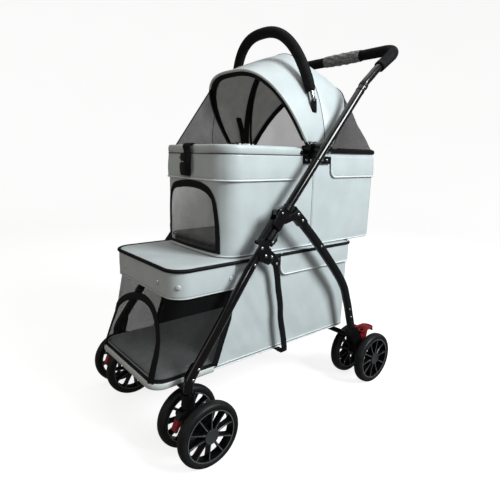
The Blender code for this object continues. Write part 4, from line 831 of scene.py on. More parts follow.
def rim_mesh(phase):
    """Band, hub and ridged spokes as vertices, faces and finish numbers: black, grey hub cap, and pale lines on the
    spoke ridges and the band's lip that are painted highlights.
    """
    verts, faces = (list(found) for found in revolve(mirrored_loop(BAND_HALF), 96))
    # Finish 2 on the band's outer lip is a painted highlight ring
    indices = [2 if abs(np.mean([verts[v][0] for v in f])) > 0.01205 else 0 for f in faces]
    hub_verts, hub_faces = revolve(mirrored_loop(HUB_HALF), 48, closed=False)
    faces += list(hub_faces + len(verts))
    indices += [1 if abs(hub_verts[f, 0].mean()) > 0.0125 else 0 for f in hub_faces]
    verts += list(hub_verts)
    for number in range(SPOKES):
        turn = 2 * math.pi * number / SPOKES + phase
        out = np.array((0, math.sin(turn), math.cos(turn)))
        side = np.array((0, math.cos(turn), -math.sin(turn)))
        faces += capped_faces(len(SPOKE_RINGS), 8, len(verts))
        # Finish 2 on each spoke's front ridges is a painted highlight line
        indices += [0, 2, 0, 0, 0, 2, 0, 0] * (len(SPOKE_RINGS) - 1) + [0, 0]
        for r, half, deep in SPOKE_RINGS:
            edge = deep - SPOKE_FALL
            for a, b in ((-half, -edge), (-SPOKE_RIDGE, -deep), (SPOKE_RIDGE, -deep), (half, -edge),
                         (half, edge), (SPOKE_RIDGE, deep), (-SPOKE_RIDGE, deep), (-half, edge)):
                verts.append(out * r + side * a + np.array((b, 0, 0)))
    return np.array(verts), faces, indices


def build_wheels():
    number = 0
    for end in ("front", "rear"):
        for side, _ in SIDES:
            for place in ("outer", "inner"):
                key = f"{end}_{side}_{place}"
                low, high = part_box("tyre_" + key)
                centre = np.array((low + high) / 2)
                centre[2] = AXLE_Z
                body = f"{end}_wheels_{side}"
                verts, faces = revolve(mirrored_loop(TYRE_HALF), 96)
                new_piece(f"tyre_{key}_rubber", verts + centre, faces, RUBBER, body, "tyre_" + key, solid=True)
                verts, faces, indices = rim_mesh(0.35 * number + 0.08)
                new_piece(f"rim_{key}_spoked", verts + centre, faces, [RIM, HUB, PAINTED_HIGHLIGHT_GREY], body, "rim_" + key, solid=True,
                          indices=indices)
                number += 1


def build_pedals():
    """Foot plates with a dished, ribbed tread and a rounded rear edge, on a shank that turns on its pin."""
    levels = [(0.0120, 0.1612), (0.0012, 0.1612), (0, 0.1622), (0, 0.1648), (0.0010, 0.1658), (0.0024, 0.1660),
              (0.0040, 0.1648), (0.0120, 0.1648)]
    shank = hull_outline((0.322, 0.123, 0.0075), (0.2960, 0.1575, 0.0040), (0.3340, 0.1575, 0.0040))
    lip = hull_outline((0.3530, 0.1625, 0.0022), (0.3560, 0.1500, 0.0022))
    for side, sign in SIDES:
        x = sign * TRACK_X
        outline = loop_plan(0.0205, 0.2860, 0.3560, 0.0040, 0.0175) + np.array((x, 0))
        parts = [plan_plate(None, outline, levels, RED)]
        parts += [tube(None, [(x + d, y, 0.1652) for d in (-0.0110, 0, 0.0110)], 0.0010, RED, sides=8)
                  for y in (0.300, 0.308, 0.316, 0.324)]
        parts += [plate_piece(None, shape, x - half, x + half, RED) for shape, half in ((shank, 0.0075), (lip, 0.0120))]
        joined(f"brake_pedal_tread_{side}", parts, 40, body=f"brake_{side}", node=f"brake_pedal_{side}")


# ---------------------------------------------------------------- legs, push tubes and handle
SKIN = 0.0003
LEG_POINTS = ((-0.337, 0.1695), (-0.337, 0.179), (-0.328, 0.207), (-0.269, 0.2865), (-0.212, 0.3655), (-0.162, 0.4345))
REAR_LEG_POINTS = ((0.087, 0.458), (0.190, 0.343), (0.223, 0.276), (0.244, 0.214), (0.260, 0.165))
FOLD_PIVOT = along(0.0, 0.018)
REAR_PIVOT = along(0.033, -0.031)
LEG_TURN = unit(np.array(REAR_LEG_POINTS[0]) - REAR_PIVOT)
KNEE = ((0.259, 0.921), (0.285, 0.943))
BAR = (0.3868, 1.0135)
BAR_CORNER = 0.050
GRIP_R = 0.0155
BRACKET_X = TRACK_X - TUBE_R - 0.0004
HANGER_RIVETS = ((-0.111, 0.474), (-0.096, 0.459), (-0.079, 0.449))
HANGER_PIVOT = (-0.063, 0.430)
OUTER_RIVETS = ((-0.1365, 0.4845), (-0.1235, 0.4635), (-0.1045, 0.4583))
HANGER_POINTS = ((-0.063, 0.430), (-0.055, 0.395), (-0.050, 0.360), (-0.041, 0.315), (-0.038, 0.275), (-0.027, 0.225),
                 (-0.0195, 0.184))
HUB_X = 0.1605
HUB_PLATE_X = 0.1556
SOCKET = (0.0827, 0.722)
# name, distance out, (y, z) points, body, radius and rise
RIVETS = (
    ("push_button_{side}", TRACK_X + 0.0108, [along(0.4385)], "handle", 0.0032, 0.0020),
    ("rear_leg_rivet_{side}_{number}", TRACK_X + 0.0095, [(0.083, 0.462), (0.2300, 0.2480), (0.2390, 0.2215)],
     "rear_frame", 0.0038, 0.0016),
    ("front_leg_rivet_{side}_{number}", TRACK_X + 0.0110, [(-0.3295, 0.203), (-0.3145, 0.2245)], "chassis",
     0.0040, 0.0016),
    ("knuckle_rivet_{side}_0", TRACK_X + 0.0158, [FOLD_PIVOT], "chassis", 0.0030, 0.0017),
    ("knuckle_rivet_{side}_1", TRACK_X + 0.0145, [REAR_PIVOT], "chassis", 0.0042, 0.0017),
    ("rear_leg_cap_rivet_{side}", TRACK_X + 0.0116, [REAR_PIVOT + LEG_TURN * 0.026], "rear_frame", 0.0042, 0.0017),
    ("fold_lock_rivet_{side}", TRACK_X + 0.0140, [along(-0.0705, -0.0065)], "fold_lock_{side}", 0.0034, 0.0018),
    ("hanger_rivet_{side}_{number}", BRACKET_X, [*HANGER_RIVETS[:2], HANGER_PIVOT], "chassis", 0.0040, 0.0018),
    ("bracket_rivet_{side}_{number}", TRACK_X + 0.0142, OUTER_RIVETS, "chassis", 0.0042, 0.0018),
    ("leg_rivet_{side}", TRACK_X + 0.0106, [(-0.1545, 0.4440)], "chassis", 0.0038, 0.0020),
    ("hub_rivet_{side}_{number}", HUB_PLATE_X, [(y, 0.6915) for y in (0.0640, 0.0810, 0.1290, 0.1480)], "chassis",
     0.0038, 0.0017),
    ("hub_latch_{side}", HUB_X, [(0.1440, 0.7215)], "chassis", 0.0036, 0.0014),
)


def build_rivets():
    for side, sign in SIDES:
        for name, x, points, body, radius, rise in RIVETS:
            for number, point in enumerate(points):
                dome(name.format(side=side, number=number), at_x(sign * x, point), (sign, 0, 0), radius, rise,
                     body=body.format(side=side))


def build_tubes():
    for side, sign in SIDES:
        x = sign * TRACK_X
        leg = smooth_path(at_x(x, *LEG_POINTS, along(-0.09), along(-0.034)), 10)
        tube(f"front_leg_skin_{side}", leg, TUBE_R + SKIN, GLOSS, sides=28)
        tube(f"push_tube_skin_{side}", run(x, 0.030, PUSH_LENGTH, 24), TUBE_R + SKIN, GLOSS, sides=28, body="handle")
        for number, (s, half, radius) in enumerate(((0.1817, 0.0025, 0.0121), (0.4265, 0.0025, 0.0121),
                                                     (0.4470, 0.0055, 0.0128))):
            tube(f"push_tube_collar_{side}_{number}", run(x, s - half, s + half, 5), radius, sides=28, body="handle")
        start = REAR_PIVOT + (REAR_PIVOT - np.array(REAR_LEG_POINTS[0])) * 0.075
        rear = smooth_path(at_x(x, start, REAR_PIVOT, *REAR_LEG_POINTS), 10)
        slope = tangents(rear)
        normals = np.stack([0 * slope[:, 0], -slope[:, 2], slope[:, 1]], 1)
        scales = np.concatenate([[0.45, 0.72, 0.86, 0.94, 0.98], np.ones(len(rear) - 5)])
        for name, n, finish, size, power, node in (
            ("rear_leg_tube", len(rear), SATIN_TUBE, (0.0095, 0.0125), 2.7, f"rear_leg_{side}"),
            ("rear_leg_cap", (walked(rear) < 0.060).sum(), SATIN, (0.0104, 0.0133), 3.4, None),
        ):
            sweep(f"{name}_{side}", rear[:n], disc(size, 28, power), finish, normals=normals[:n], scales=scales[:n],
                  body="rear_frame", node=node, crease=50)


def build_handle():
    """The bent bar, its foam and the loose clear film round the foam's middle."""
    rise = unit(np.array((0.0, BAR[0] - KNEE[1][0], BAR[1] - KNEE[1][1])))
    outward = np.array((1.0, 0.0, 0.0))
    centre = at_x(TRACK_X, BAR) - (rise + outward) * BAR_CORNER
    corner = [centre + BAR_CORNER * (outward * math.cos(a) + rise * math.sin(a))
              for a in np.linspace(0, math.pi / 2, 12)]
    side_path = [*at_x(TRACK_X, along(PUSH_LENGTH + 0.001), along(PUSH_LENGTH + 0.010), *KNEE), *corner,
                 at_x(0.075, BAR), at_x(0.0, BAR)]
    path = smooth_path(side_path + [p * (-1, 1, 1) for p in side_path[-2::-1]], 6)
    tube("handle_bar_tube", path, TUBE_R, GLOSS, sides=28, body="handle", node="handle_bar")
    started = np.argmax(path[:, 2] > 0.946)
    tube("handle_foam", path[started:-started], GRIP_R, FOAM, sides=32, body="handle", node="handle_grip")
    angles = np.arange(40) * 2 * math.pi / 40
    rings = []
    for number, x in enumerate(np.linspace(-0.078, 0.066, 60)):
        t = number / 59
        folds = 0.0009 * np.sin(3 * angles + 30 * t) + 0.0007 * np.sin(7 * angles - 22 * t)
        bulge = math.sin(math.pi * t)
        radius = GRIP_R + 0.0012 + 0.0012 * bulge**0.5 + folds * bulge**0.3
        rings.append(at_x(x, BAR) + np.stack([0 * angles, np.cos(angles) * radius, np.sin(angles) * radius], 1))
    shell("handle_clear_wrap", np.array(rings), 0.0004, FILM, (0, *BAR), wrap=True, body="handle")


def arch(half, base, top, power, count=61):
    """A superellipse arch from +X over the top to -X."""
    a = np.linspace(0, math.pi, count)
    rise = np.maximum(np.sin(a), 0) ** (2 / power)
    rise[0] = rise[-1] = 0.0
    x = half * np.sign(np.cos(a)) * np.abs(np.cos(a)) ** (2 / power)
    return np.stack([x, base[0] + (top[0] - base[0]) * rise, base[1] + (top[1] - base[1]) * rise], 1)


CARRY_HALF, CARRY_FOOT_X, CARRY_EXIT_Z, CARRY_GRIP_Z = 0.1660, 0.1545, 0.832, 0.862
CARRY_BASE, CARRY_TOP = (0.096, 0.7366), (0.031, 1.025)


def build_carry_handle():
    lean = (CARRY_TOP[0] - CARRY_BASE[0]) / (CARRY_TOP[1] - CARRY_BASE[1])
    bow = even(arch(CARRY_HALF, CARRY_BASE, CARRY_TOP, 2.5, 241), 181)
    tube("carry_handle_tube", bow[bow[:, 2] > CARRY_EXIT_Z + 0.006], 0.0078, CHROME, sides=24, node="carry_handle")
    covered = bow[bow[:, 2] > CARRY_GRIP_Z]
    from_end = np.minimum(np.arange(len(covered)), np.arange(len(covered))[::-1])
    scales = 0.78 + 0.22 * np.clip(from_end / 6, 0, 1) ** 0.5
    tube("carry_handle_foam", covered, 0.0142, FOAM, sides=36, scales=scales, node="carry_grip")
    for side, sign in SIDES:
        strip = [(sign * x, CARRY_BASE[0] + lean * (z - CARRY_BASE[1]), z) for x, z in (
            (CARRY_FOOT_X, CARRY_BASE[1]), (CARRY_FOOT_X, 0.78), (CARRY_HALF - 0.004, 0.820),
            (CARRY_HALF - 0.0015, 0.846))]
        sweep(f"carry_handle_bracket_{side}", smooth_path(strip, 8), disc((0.0095, 0.0022), 16, 4),
              normals=np.array((sign * 1.0, 0.0, 0.0)), crease=40)


def plates(outline, x, low, high, edge, turns=(1, -1)):
    """Like plates, low to high out from x on either side."""
    return [plate_piece(None, outline, x + turn * low, x + turn * high, edge=edge) for turn in turns]


def build_knuckles():
    """The fold joint: a cast yoke on the leg, a lug to the rear leg, a guard along the leg, and the sliding lock."""
    yoke = hull_outline((*FOLD_PIVOT, 0.0110), (*along(-0.034, 0.0200), 0.0030), (*along(-0.034, -0.002), 0.0030),
                        (*along(0.004, 0.001), 0.0050))
    inner = hull_outline((*FOLD_PIVOT, 0.0072), (*along(-0.030, 0.0100), 0.0040), (*along(-0.030, -0.002), 0.0040))
    lug = hull_outline((*REAR_PIVOT, 0.0092), (*along(-0.006, -0.004), 0.0092))
    foot = hull_outline((*along(-0.090, 0.0186), 0.0050), (*along(-0.088, 0.006), 0.0040))
    cap = hull_outline((*REAR_PIVOT, 0.0108), (*(REAR_PIVOT + LEG_TURN * 0.036), 0.0120))
    wing = hull_outline((*along(-0.048, -0.0140), 0.0045), (*along(-0.058, -0.0185), 0.0045),
                        (*along(-0.074, -0.0155), 0.0045))
    for side, sign in SIDES:
        x = sign * TRACK_X
        parts = plates(lug, x, 0.0122, 0.0145, 0.0006)
        parts += plates(yoke, x, 0.0122, 0.0158, 0.0012, [sign]) + plates(inner, x, 0.0122, 0.0158, 0.0012, [-sign])
        parts += [
            tube(None, ringed(at_x(x + sign * 0.0157, *np.roll(yoke, 3, 0)), 89), 0.0009, GLOSS, True, 8),
            tube(None, run(x, -0.0395, -0.016, 8), 0.0136, sides=36),
            tube(None, run(x, -0.0379, -0.0351, 4), 0.0143, sides=36),
            sweep(None, run(x, -0.092, -0.0250, 24, 0.0186), disc((0.0105, 0.0042), 24, 3.0),
                  normals=at_x(0, along(0, 1) - along(0))),
            *plates(foot, x, 0.0100, 0.0122, 0.0006),
        ]
        joined(f"fold_knuckle_cast_{side}", parts, 44, node=f"fold_knuckle_{side}")
        # The clamp round the foot of the push tube, and the rear leg's flat cap between the lugs
        tube(f"push_tube_clamp_{side}", run(x, 0.0165, 0.0335, 6), 0.0127, sides=32, crease=50, body="handle")
        plate_piece(f"rear_leg_cap_plate_{side}", cap, x - 0.0116, x + 0.0116, body="rear_frame")
        # The sliding lock: a sleeve with a rail and a thumb wing
        parts = [tube(None, run(x, -0.0725, -0.0412, 12), 0.0134, sides=36)]
        parts += [tube(None, run(x, v - 0.0016, v + 0.0016, 4), 0.0141, sides=36) for v in (-0.0705, -0.0435)]
        parts.append(tube(None, run(x + sign * 0.0118, -0.0745, -0.0440, 12, -0.0065), 0.0038, HUB, sides=16))
        parts.append(plate_piece(None, wing, x - 0.006, x + 0.006))
        for v in (-0.054, -0.060, -0.066):
            rib = along(v, -0.0232 + 0.02 * abs(v + 0.060))
            parts.append(tube(None, [at_x(x + d, rib) for d in (-0.0055, 0.0, 0.0055)], 0.0010, sides=8))
        joined(f"fold_lock_sleeve_{side}", parts, 50, body=f"fold_lock_{side}", node=f"fold_lock_{side}")


def build_hanger():
    """The side brackets on the legs and the strap that hangs under the lower cabin from them."""
    bracket = hull_outline((*HANGER_RIVETS[0], 0.0095), (*HANGER_RIVETS[2], 0.0125), (*HANGER_PIVOT, 0.0115))
    outer = hull_outline((-0.1350, 0.5020, 0.0045), (*OUTER_RIVETS[0], 0.0088), (-0.1380, 0.4580, 0.0060),
                         (-0.1150, 0.4480, 0.0065), (*OUTER_RIVETS[2], 0.0090))
    section = tape_section(0.0195, 0.0026)
    parts = []
    for _, sign in SIDES:
        parts += [
            plate_piece(None, bracket, sign * (BRACKET_X - 0.0034), sign * BRACKET_X, edge=0.0008),
            plate_piece(None, outer, sign * (TRACK_X + 0.0100), sign * (TRACK_X + 0.0142), edge=0.0009),
            tube(None, ringed(at_x(sign * (TRACK_X + 0.0138), *outer), 79), 0.0011, closed=True, sides=8),
            tube(None, [at_x(sign * v, OUTER_RIVETS[2]) for v in (BRACKET_X - 0.002, TRACK_X, TRACK_X + 0.0110)],
                 0.0040, sides=14),
        ]
        x = sign * (BRACKET_X - 0.0058)
        ends = [(x - sign * d, -0.0190, z) for d, z in ((0.0006, 0.1745), (0.005, 0.1712), (0.020, 0.1705))]
        line = np.array([*smooth_path(at_x(x, *HANGER_POINTS), 8), *ends])
        normals = np.cross(tangents(line), (0.0, 1.0, 0.0))
        parts.append(sweep(None, line, section, SATIN_TUBE, normals=normals * sign * np.sign(normals[0, 0])))
    under = [(x, -0.0190, 0.1705) for x in np.linspace(-0.165, 0.165, 30)]
    parts.append(sweep(None, under, section, SATIN_TUBE, normals=np.array((0, 0, 1.0))))
    joined("basket_hanger_strap", parts, 44, node="basket_hanger")


def build_hubs():
    """The rim's side hubs: a riveted plate, the block with the bows' pins, the front arm and the socket's boss."""
    plate = hull_outline(*((y, z, 0.0035) for y in (0.0585, 0.1620) for z in (0.6850, 0.6980)))
    block = hull_outline((0.058, 0.7225, 0.0062), (0.090, 0.7225, 0.0120), (0.104, 0.7225, 0.0120),
                         (0.144, 0.7215, 0.0068))
    web = hull_outline(*((y, z, 0.0050) for y in (0.084, 0.132) for z in (0.6980, 0.7150)))
    clip = hull_outline((0.0640, 0.7330, 0.0022), (0.0715, 0.7395, 0.0026))
    for side, sign in SIDES:
        layers = ((plate, 0.1495, HUB_PLATE_X), (block, 0.1450, HUB_X), (web, 0.1450, 0.1575))
        parts = [plate_piece(None, outline, sign * low, sign * high, edge=0.0012) for outline, low, high in layers]
        arm = at_x(sign * 0.1530, (0.042, 0.7120), (0.054, 0.7065), (0.068, 0.7080), (0.078, 0.7160))
        parts.append(tube(None, smooth_path(arm, 8), 0.0044, sides=18))
        pin = (0.1560, 0.1640, 0.1704)
        for point, reach, radius, sides in (
            ((0.058, BOW_PIVOT_Z), pin, 0.0030, 14), ((0.144, BOW_PIVOT_Z), pin, 0.0030, 14),
            (SOCKET, (0.1580, 0.1700, 0.1800), 0.0108, 28),
        ):
            parts.append(tube(None, [at_x(sign * v, point) for v in reach], radius, sides=sides))
        joined(f"carrier_hub_{side}", parts, 44)
        plate_piece(f"hub_clip_{side}", clip, sign * 0.1590, sign * 0.1625, CHROME, 0.0006)


# ---------------------------------------------------------------- lower cabin
ARCH_OUTER = ((-0.141, 0.184), (-0.140, 0.230), (-0.136, 0.270), (-0.128, 0.300), (-0.106, 0.320), (-0.071, 0.339),
              (-0.025, 0.353), (0.020, 0.358), (0.059, 0.352), (0.088, 0.335), (0.110, 0.310), (0.123, 0.283),
              (0.134, 0.249), (0.138, 0.220), (0.143, 0.186))
HEM_Z = 0.379
FLOOR_TOP = 0.188
BASKET_LOW = 0.1755
SHARES = np.linspace(0, 1, 361)[:-1]


def slant_u(z, side, shift=0.0):
    """u of the slanted seam between net and leather."""
    heights = np.atleast_1d(z)
    ys = np.interp(heights, (0.177, 0.298, 0.379), (-0.238, -0.193, -0.178)) + shift
    return np.array([BASKET_WALL.u_of_y(y, v, side) for y, v in zip(ys, heights)])


def door_arch(wall, points, steps, inset, lift, step=0.004):
    """The door's outline inset by that much at each point, as a line on the wall; and the outline and its inward."""
    outline = smooth_path([(x, 0, z) for x, z in points], steps)
    slope = tangents(outline)
    inward = np.stack([slope[:, 2], 0 * slope[:, 0], -slope[:, 0]], 1)
    return front_line(wall, outline + inward * inset, lift, step), outline, inward


def front_line(wall, points, lift, step=0.004):
    return wall.path([wall.u_of_x(x, z) for x, _, z in points], points[:, 2], lift, step)


def build_basket():
    for name, top, ends, shift, turn, columns, lift, thickness, finish, node in (
        ("lower_cabin_leather", 0.449, (64, 0.3), 0.004, 1, 260, 0.0, 0.0018, [GREY, DARK_LINING], "basket_shell"),
        ("lower_cabin_net", 0.443, (60,), 0.010, 0, 240, -0.0004, 0.0007, NET, "basket_mesh"),
    ):
        heights = spans(BASKET_LOW, top, *ends)
        right, left = slant_u(heights, 1, shift), slant_u(heights, -1, shift) - turn
        starts, ends = (left, right) if turn else (right, left)
        grid = np.array([BASKET_WALL.at(np.linspace(u0, u1, columns), z, lift)
                         for z, u0, u1 in zip(heights, starts, ends)])
        shell(name, grid, thickness, finish, (0, 0, 0.3), "stretched", "lower_floor_board", node=node)
    z = spans(0.186, 0.384, 40)
    for side, sign in SIDES:
        tape(f"lower_window_tape_{side}", *BASKET_WALL.on(slant_u(z, sign), z, 0.0004), 0.017, 0.0016)
    line, _, _ = door_arch(BASKET_WALL, ARCH_OUTER, 10, 0.0090, 0.0006)
    tape("lower_door_tape", *line, 0.0185, 0.0020)
    # Binding round the floor's front, and piping and a seam along its sides
    u0, u1 = slant_u(0.18, 1)[0], slant_u(0.18, -1)[0]
    half = [(-0.0072, -0.0006), (-0.0074, 0.0006), (-0.0060, 0.0020)]
    section = [*half, (0, 0.0027), *((-x, y) for x, y in half[::-1])]
    trim("floor_front_binding", BASKET_WALL.on(np.linspace(u0, u1, 240), 0.1785, 0.0002), section, GREY_TRIM)
    for name, z, lift, section, finish in (
        ("floor_side_piping_0", 0.1845, 0.0004, disc(0.0011, 10), PIPING),
        ("floor_side_piping_1", 0.1770, 0.0004, disc(0.0016, 10), PIPING),
        ("floor_side_seam", 0.1808, 0.0001, disc(0.0006, 8), DARK_THREAD),
    ):
        trim(name, BASKET_WALL.on(np.linspace(u1 - 1, u0, 300), z, lift), section, finish)


def build_deck():
    levels = [(0.030, 0.4405), (0.004, 0.4405), (0.0015, 0.4425), (0.0014, 0.4445), (0.0030, 0.4464), (0.008, 0.4480),
              (0.017, 0.4491), (0.029, 0.4497), (0.042, 0.4499)]
    lid = plan_plate("deck_lid_leather", loop_plan(**DECK), levels, GREY, node="basket_deck")
    sweep("deck_edge_piping", DECK_WALL.at(SHARES, 0.4445, 0.0006), disc(0.0046, 14), TAPE, True)
    hem_u = DECK_WALL.both_u(-0.178, 0.41)
    flap("deck_hem_leather", DECK_WALL, *hem_u, HEM_Z, 0.4415, 0.0002, 0.0024, 0, 220, 18, "deck_lid_leather")
    us = np.linspace(*hem_u, 60)
    stitches("deck_hem_stitches", *DECK_WALL.path(us, 0.3845, 0.0006))
    trim("deck_hem_edge", DECK_WALL.path(us, 0.3792, 0.0002), disc(0.0013, 10), GREY_TRIM)
    snaps = [(DECK_WALL.u_of_y(y, 0.407, side), 0.407) for side in (1, -1) for y in (-0.191, -0.331)]
    snaps += [(DECK_WALL.u_of_x(x, 0.408), 0.408) for x in (0.089, -0.089)]
    for number, (u, v) in enumerate(snaps):
        points, normals = DECK_WALL.on([u], [v], 0.0016)
        dome(f"hem_snap_{number}", points[0], normals[0], 0.0062, 0.0026, PEARL, sides=28)
    right, left = DECK_WALL.both_u(-0.025, 0.42)
    flap("rear_pocket_flap", DECK_WALL, left - 1, right, 0.389, 0.4505, 0.0004, 0.0022, 0.020, 240, 16,
         "deck_lid_leather", (0.0021, 0.0016, "rear_pocket_piping"))
    levels = [(0.020, 0.1740), (0.0030, 0.1740), (0.0012, 0.1760), (0.0012, 0.1840), (0.003, 0.1860), (0.020, 0.1865)]
    outline = loop_plan(front=basket_front(0.181), **BASKET)
    plan_plate("lower_floor_board", outline, levels, DARK_LINING, node="basket_floor")


def cushion(name, low, high, corner, inset, finish, cord_drop, node=None):
    """A stuffed pad: a rounded slab filled by cloth pressure, with its seam drawn in."""
    low, high = Vector(low), Vector(high)
    half, front, rear = (high[0] - low[0]) / 2 - inset, low[1] + inset, high[1] - inset
    outline = loop_plan(half, front, rear, corner, corner * 0.7)
    bottom, top = low[2] + 0.001, high[2]
    middle = (bottom + top) / 2
    levels = [(0.012, bottom), (0.004, bottom + 0.001), (0.0005, middle - 0.003), (0.0005, middle + 0.003),
              (0.004, top - 0.001), (0.012, top)]
    slab = plan_plate(name, outline, levels, finish, body=None, node=node)
    fill(slab.modifiers.new("even", "REMESH"), dict(mode="VOXEL", voxel_size=0.0055))
    applied(slab)
    rest = np.array([v.co for v in slab.data.vertices])
    cloth = slab.modifiers.new("cloth", "CLOTH").settings
    fill(cloth, dict(quality=5, mass=0.3, tension_stiffness=25, compression_stiffness=25, bending_stiffness=0.6,
                     use_pressure=True, uniform_pressure_force=4.0))
    cloth.effector_weights.gravity = 0.0
    for step in range(1, 21):
        bpy.context.scene.frame_set(step)
    applied(slab)
    shift = np.array([v.co for v in slab.data.vertices]) - rest
    size = np.linalg.norm(shift, axis=1, keepdims=True)
    found = rest + shift * np.minimum(1.0, 0.004 / np.maximum(size, 1e-9))
    found[:, 2] = np.clip(found[:, 2], low[2] - 0.0005, high[2] + 0.003)
    slab.data.vertices.foreach_set("co", found.ravel())
    bpy.context.scene.frame_set(1)
    slab.data.shade_smooth()
    fill(slab.modifiers.new("finer", "SUBSURF"), dict(levels=1, render_levels=1))
    applied(slab)
    slab.data.materials.clear()
    slab.data.materials.append(finish)
    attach(slab, "chassis")
    line = [(x * (1 - 0.002 / max(abs(x), 0.05)), y, top - cord_drop) for x, y in outline]
    cord = sweep(name + "_seam", ringed(line, 259), disc(0.0018, 10), finish, True)


# ---------------------------------------------------------------- upper carrier
DOOR_OUTER = ((-0.114, 0.460), (-0.112, 0.500), (-0.111, 0.540), (-0.107, 0.580), (-0.098, 0.607), (-0.081, 0.624),
              (-0.047, 0.632), (-0.005, 0.636), (0.035, 0.635), (0.064, 0.630), (0.088, 0.620), (0.104, 0.604),
              (0.112, 0.585), (0.117, 0.555), (0.120, 0.525), (0.1215, 0.493), (0.1215, 0.460))
BOTTOM_ROUND = 0.012
INSIDE = (0, 0.1, 0.58)


def build_carrier():
    wall = CARRIER_WALL
    # The bottom edge rolls under
    grid = []
    for a in np.radians((90, 67.5, 45, 22.5)):
        tuck = wall.at(SHARES, 0.4532, -BOTTOM_ROUND * 0.5 * (1 - math.cos(a)))
        grid.append(tuck - np.array((0, 0, BOTTOM_ROUND * 0.22 * math.sin(a))))
    grid = np.array([*grid, *(wall.at(SHARES, z) for z in spans(0.4530, 0.708, 70, 0.25))])
    leather_wall = shell("carrier_leather", grid, 0.0020, [GREY, CABIN_LINING_PAINTED_GLOW], INSIDE, wrap=True,
                         node="carrier_shell")
    opening = smooth_path([(x, 0, z) for x, z in DOOR_OUTER], 6)
    shrunk = [(x * 0.93 - 0.0005, 0.459 + (z - 0.459) * 0.95 + 0.006) for x, _, z in opening]
    cut_out(leather_wall, shrunk, -0.30, -0.10)
    crease_ends(leather_wall, 60)
    levels = [(0.02, 0.4505), (0.006, 0.4505), (0.0045, 0.4520), (0.0045, 0.4545), (0.02, 0.4550)]
    plan_plate("carrier_base_board", loop_plan(**CARRIER), levels, DARK_LINING)
    sweep("carrier_base_piping", wall.at(SHARES, 0.4545, 0.0004), disc(0.0015, 10), PIPING, True)
    # The front door's net, its tape, its sill and the flap over its zip
    us = np.linspace(wall.u_of_x(0.118, 0.55), wall.u_of_x(-0.118, 0.55), 110)
    grid = np.array([wall.at(us, z, -0.0035) for z in spans(0.459, 0.640, 40)])
    shell("carrier_door_net", grid, 0.0007, NET, INSIDE, "stretched", "carrier_leather", node="carrier_door")
    line, outline, inward = door_arch(wall, DOOR_OUTER, 10, 0.0062, 0.0006, 0.003)
    tape("carrier_door_tape", *line, 0.0125, 0.0022)
    bottom = smooth_path([(0.1120, 0, 0.4640), (0.060, 0, 0.4635), (0, 0, 0.4630), (-0.060, 0, 0.4635),
                          (-0.1050, 0, 0.4640)], 8)
    over = outline[:, 2] > 0.602
    reach = 0.0085 + 0.0062 * np.sin(np.linspace(0, np.pi, over.sum())) ** 0.5
    crown = outline[over] + inward[over] * reach[:, None]
    for name, points in (("carrier_door_sill", bottom), ("carrier_door_zip_flap", crown)):
        tape(name, *front_line(wall, points, 0.0006, 0.003), 0.0080, 0.0022)
    z = spans(0.459, 0.684, 60)
    for side, sign in SIDES:
        u = wall.u_of_y(0.100, 0.58, sign)
        trim(f"carrier_side_seam_{side}", wall.on(u, z, -0.0001), disc(0.0007, 8), DARK_THREAD)
        stitches(f"carrier_side_stitches_{side}", *wall.on(u - sign * 0.0028, z, 0.0001), 0.0048, 0.0032)
    # The hem bands round the top: a long one in front and a flap behind
    front_u, rear_u = wall.both_u(0.050, 0.67), wall.both_u(0.171, 0.67)
    for name, u0, u1, low, corner in (("carrier_front_band", *front_u, 0.640, 0.024),
                                      ("carrier_rear_flap", rear_u[1] - 1, rear_u[0], 0.644, 0.020)):
        flap(name, wall, u0, u1, low, 0.702, 0.0036, 0.0026, corner, 240, 16, "carrier_leather",
             (0.0020, 0.0042, name + "_piping"))
        us = u0 + (u1 - u0) * np.linspace(0.03, 0.97, 80)
        stitches(name + "_stitches", *wall.path(us, low + 0.0055, 0.0036))


def build_rim():
    """The leather round the rim's front with its ends, a painted shadow line under it, the bare tube behind and its
    collars.
    """
    wall = CARRIER_WALL
    u0, u1 = wall.both_u(0.050, 0.71)
    us = np.linspace(u0, u1, 260)

    def ring(name, us, z, inset, section, finish, **more):
        outward = wall.side(us, z)
        sweep(name, wall.bare(us, z) - outward * np.reshape(inset, (-1, 1)), section, finish, normals=outward, **more)

    wave = np.array([0.0004 * noise.noise(Vector((u * 60, 1.3, 0))) for u in us])
    ring("carrier_rim_wrap", us, 0.7125, 0.0020 - wave, disc((0.0120, 0.0072), 28, 2.5), GREY, crease=50)
    for number, (u, step) in enumerate(((u0, 0.006), (u1, -0.006))):
        ring(f"carrier_rim_wrap_end_{number}", np.linspace(u, u + step, 6), 0.7125, 0.002,
             disc((0.0124, 0.0076), 28, 2.5), PIPING, crease=50)
    # A thin black cord just under the wrap's lower edge paints in the shadow that the wrap casts
    trim("carrier_rim_painted_shadow_line", wall.on(us, 0.7028, 0.0040), disc(0.0009, 8), DARK_THREAD)
    ring("carrier_rim_tube", np.linspace(u1 - 0.996, u0 - 0.004, 260), 0.7165, 0.0010, disc((0.0075, 0.0066), 24),
         GLOSS, node="carrier_rim")
    for side, sign in SIDES:
        near = np.linspace(*(wall.u_of_y(y, 0.71, sign) for y in (0.1565, 0.1665)), 6)
        ring(f"rim_collar_{side}", near, 0.7165, 0.0010, disc((0.0086, 0.0077), 24), CHROME, crease=50)


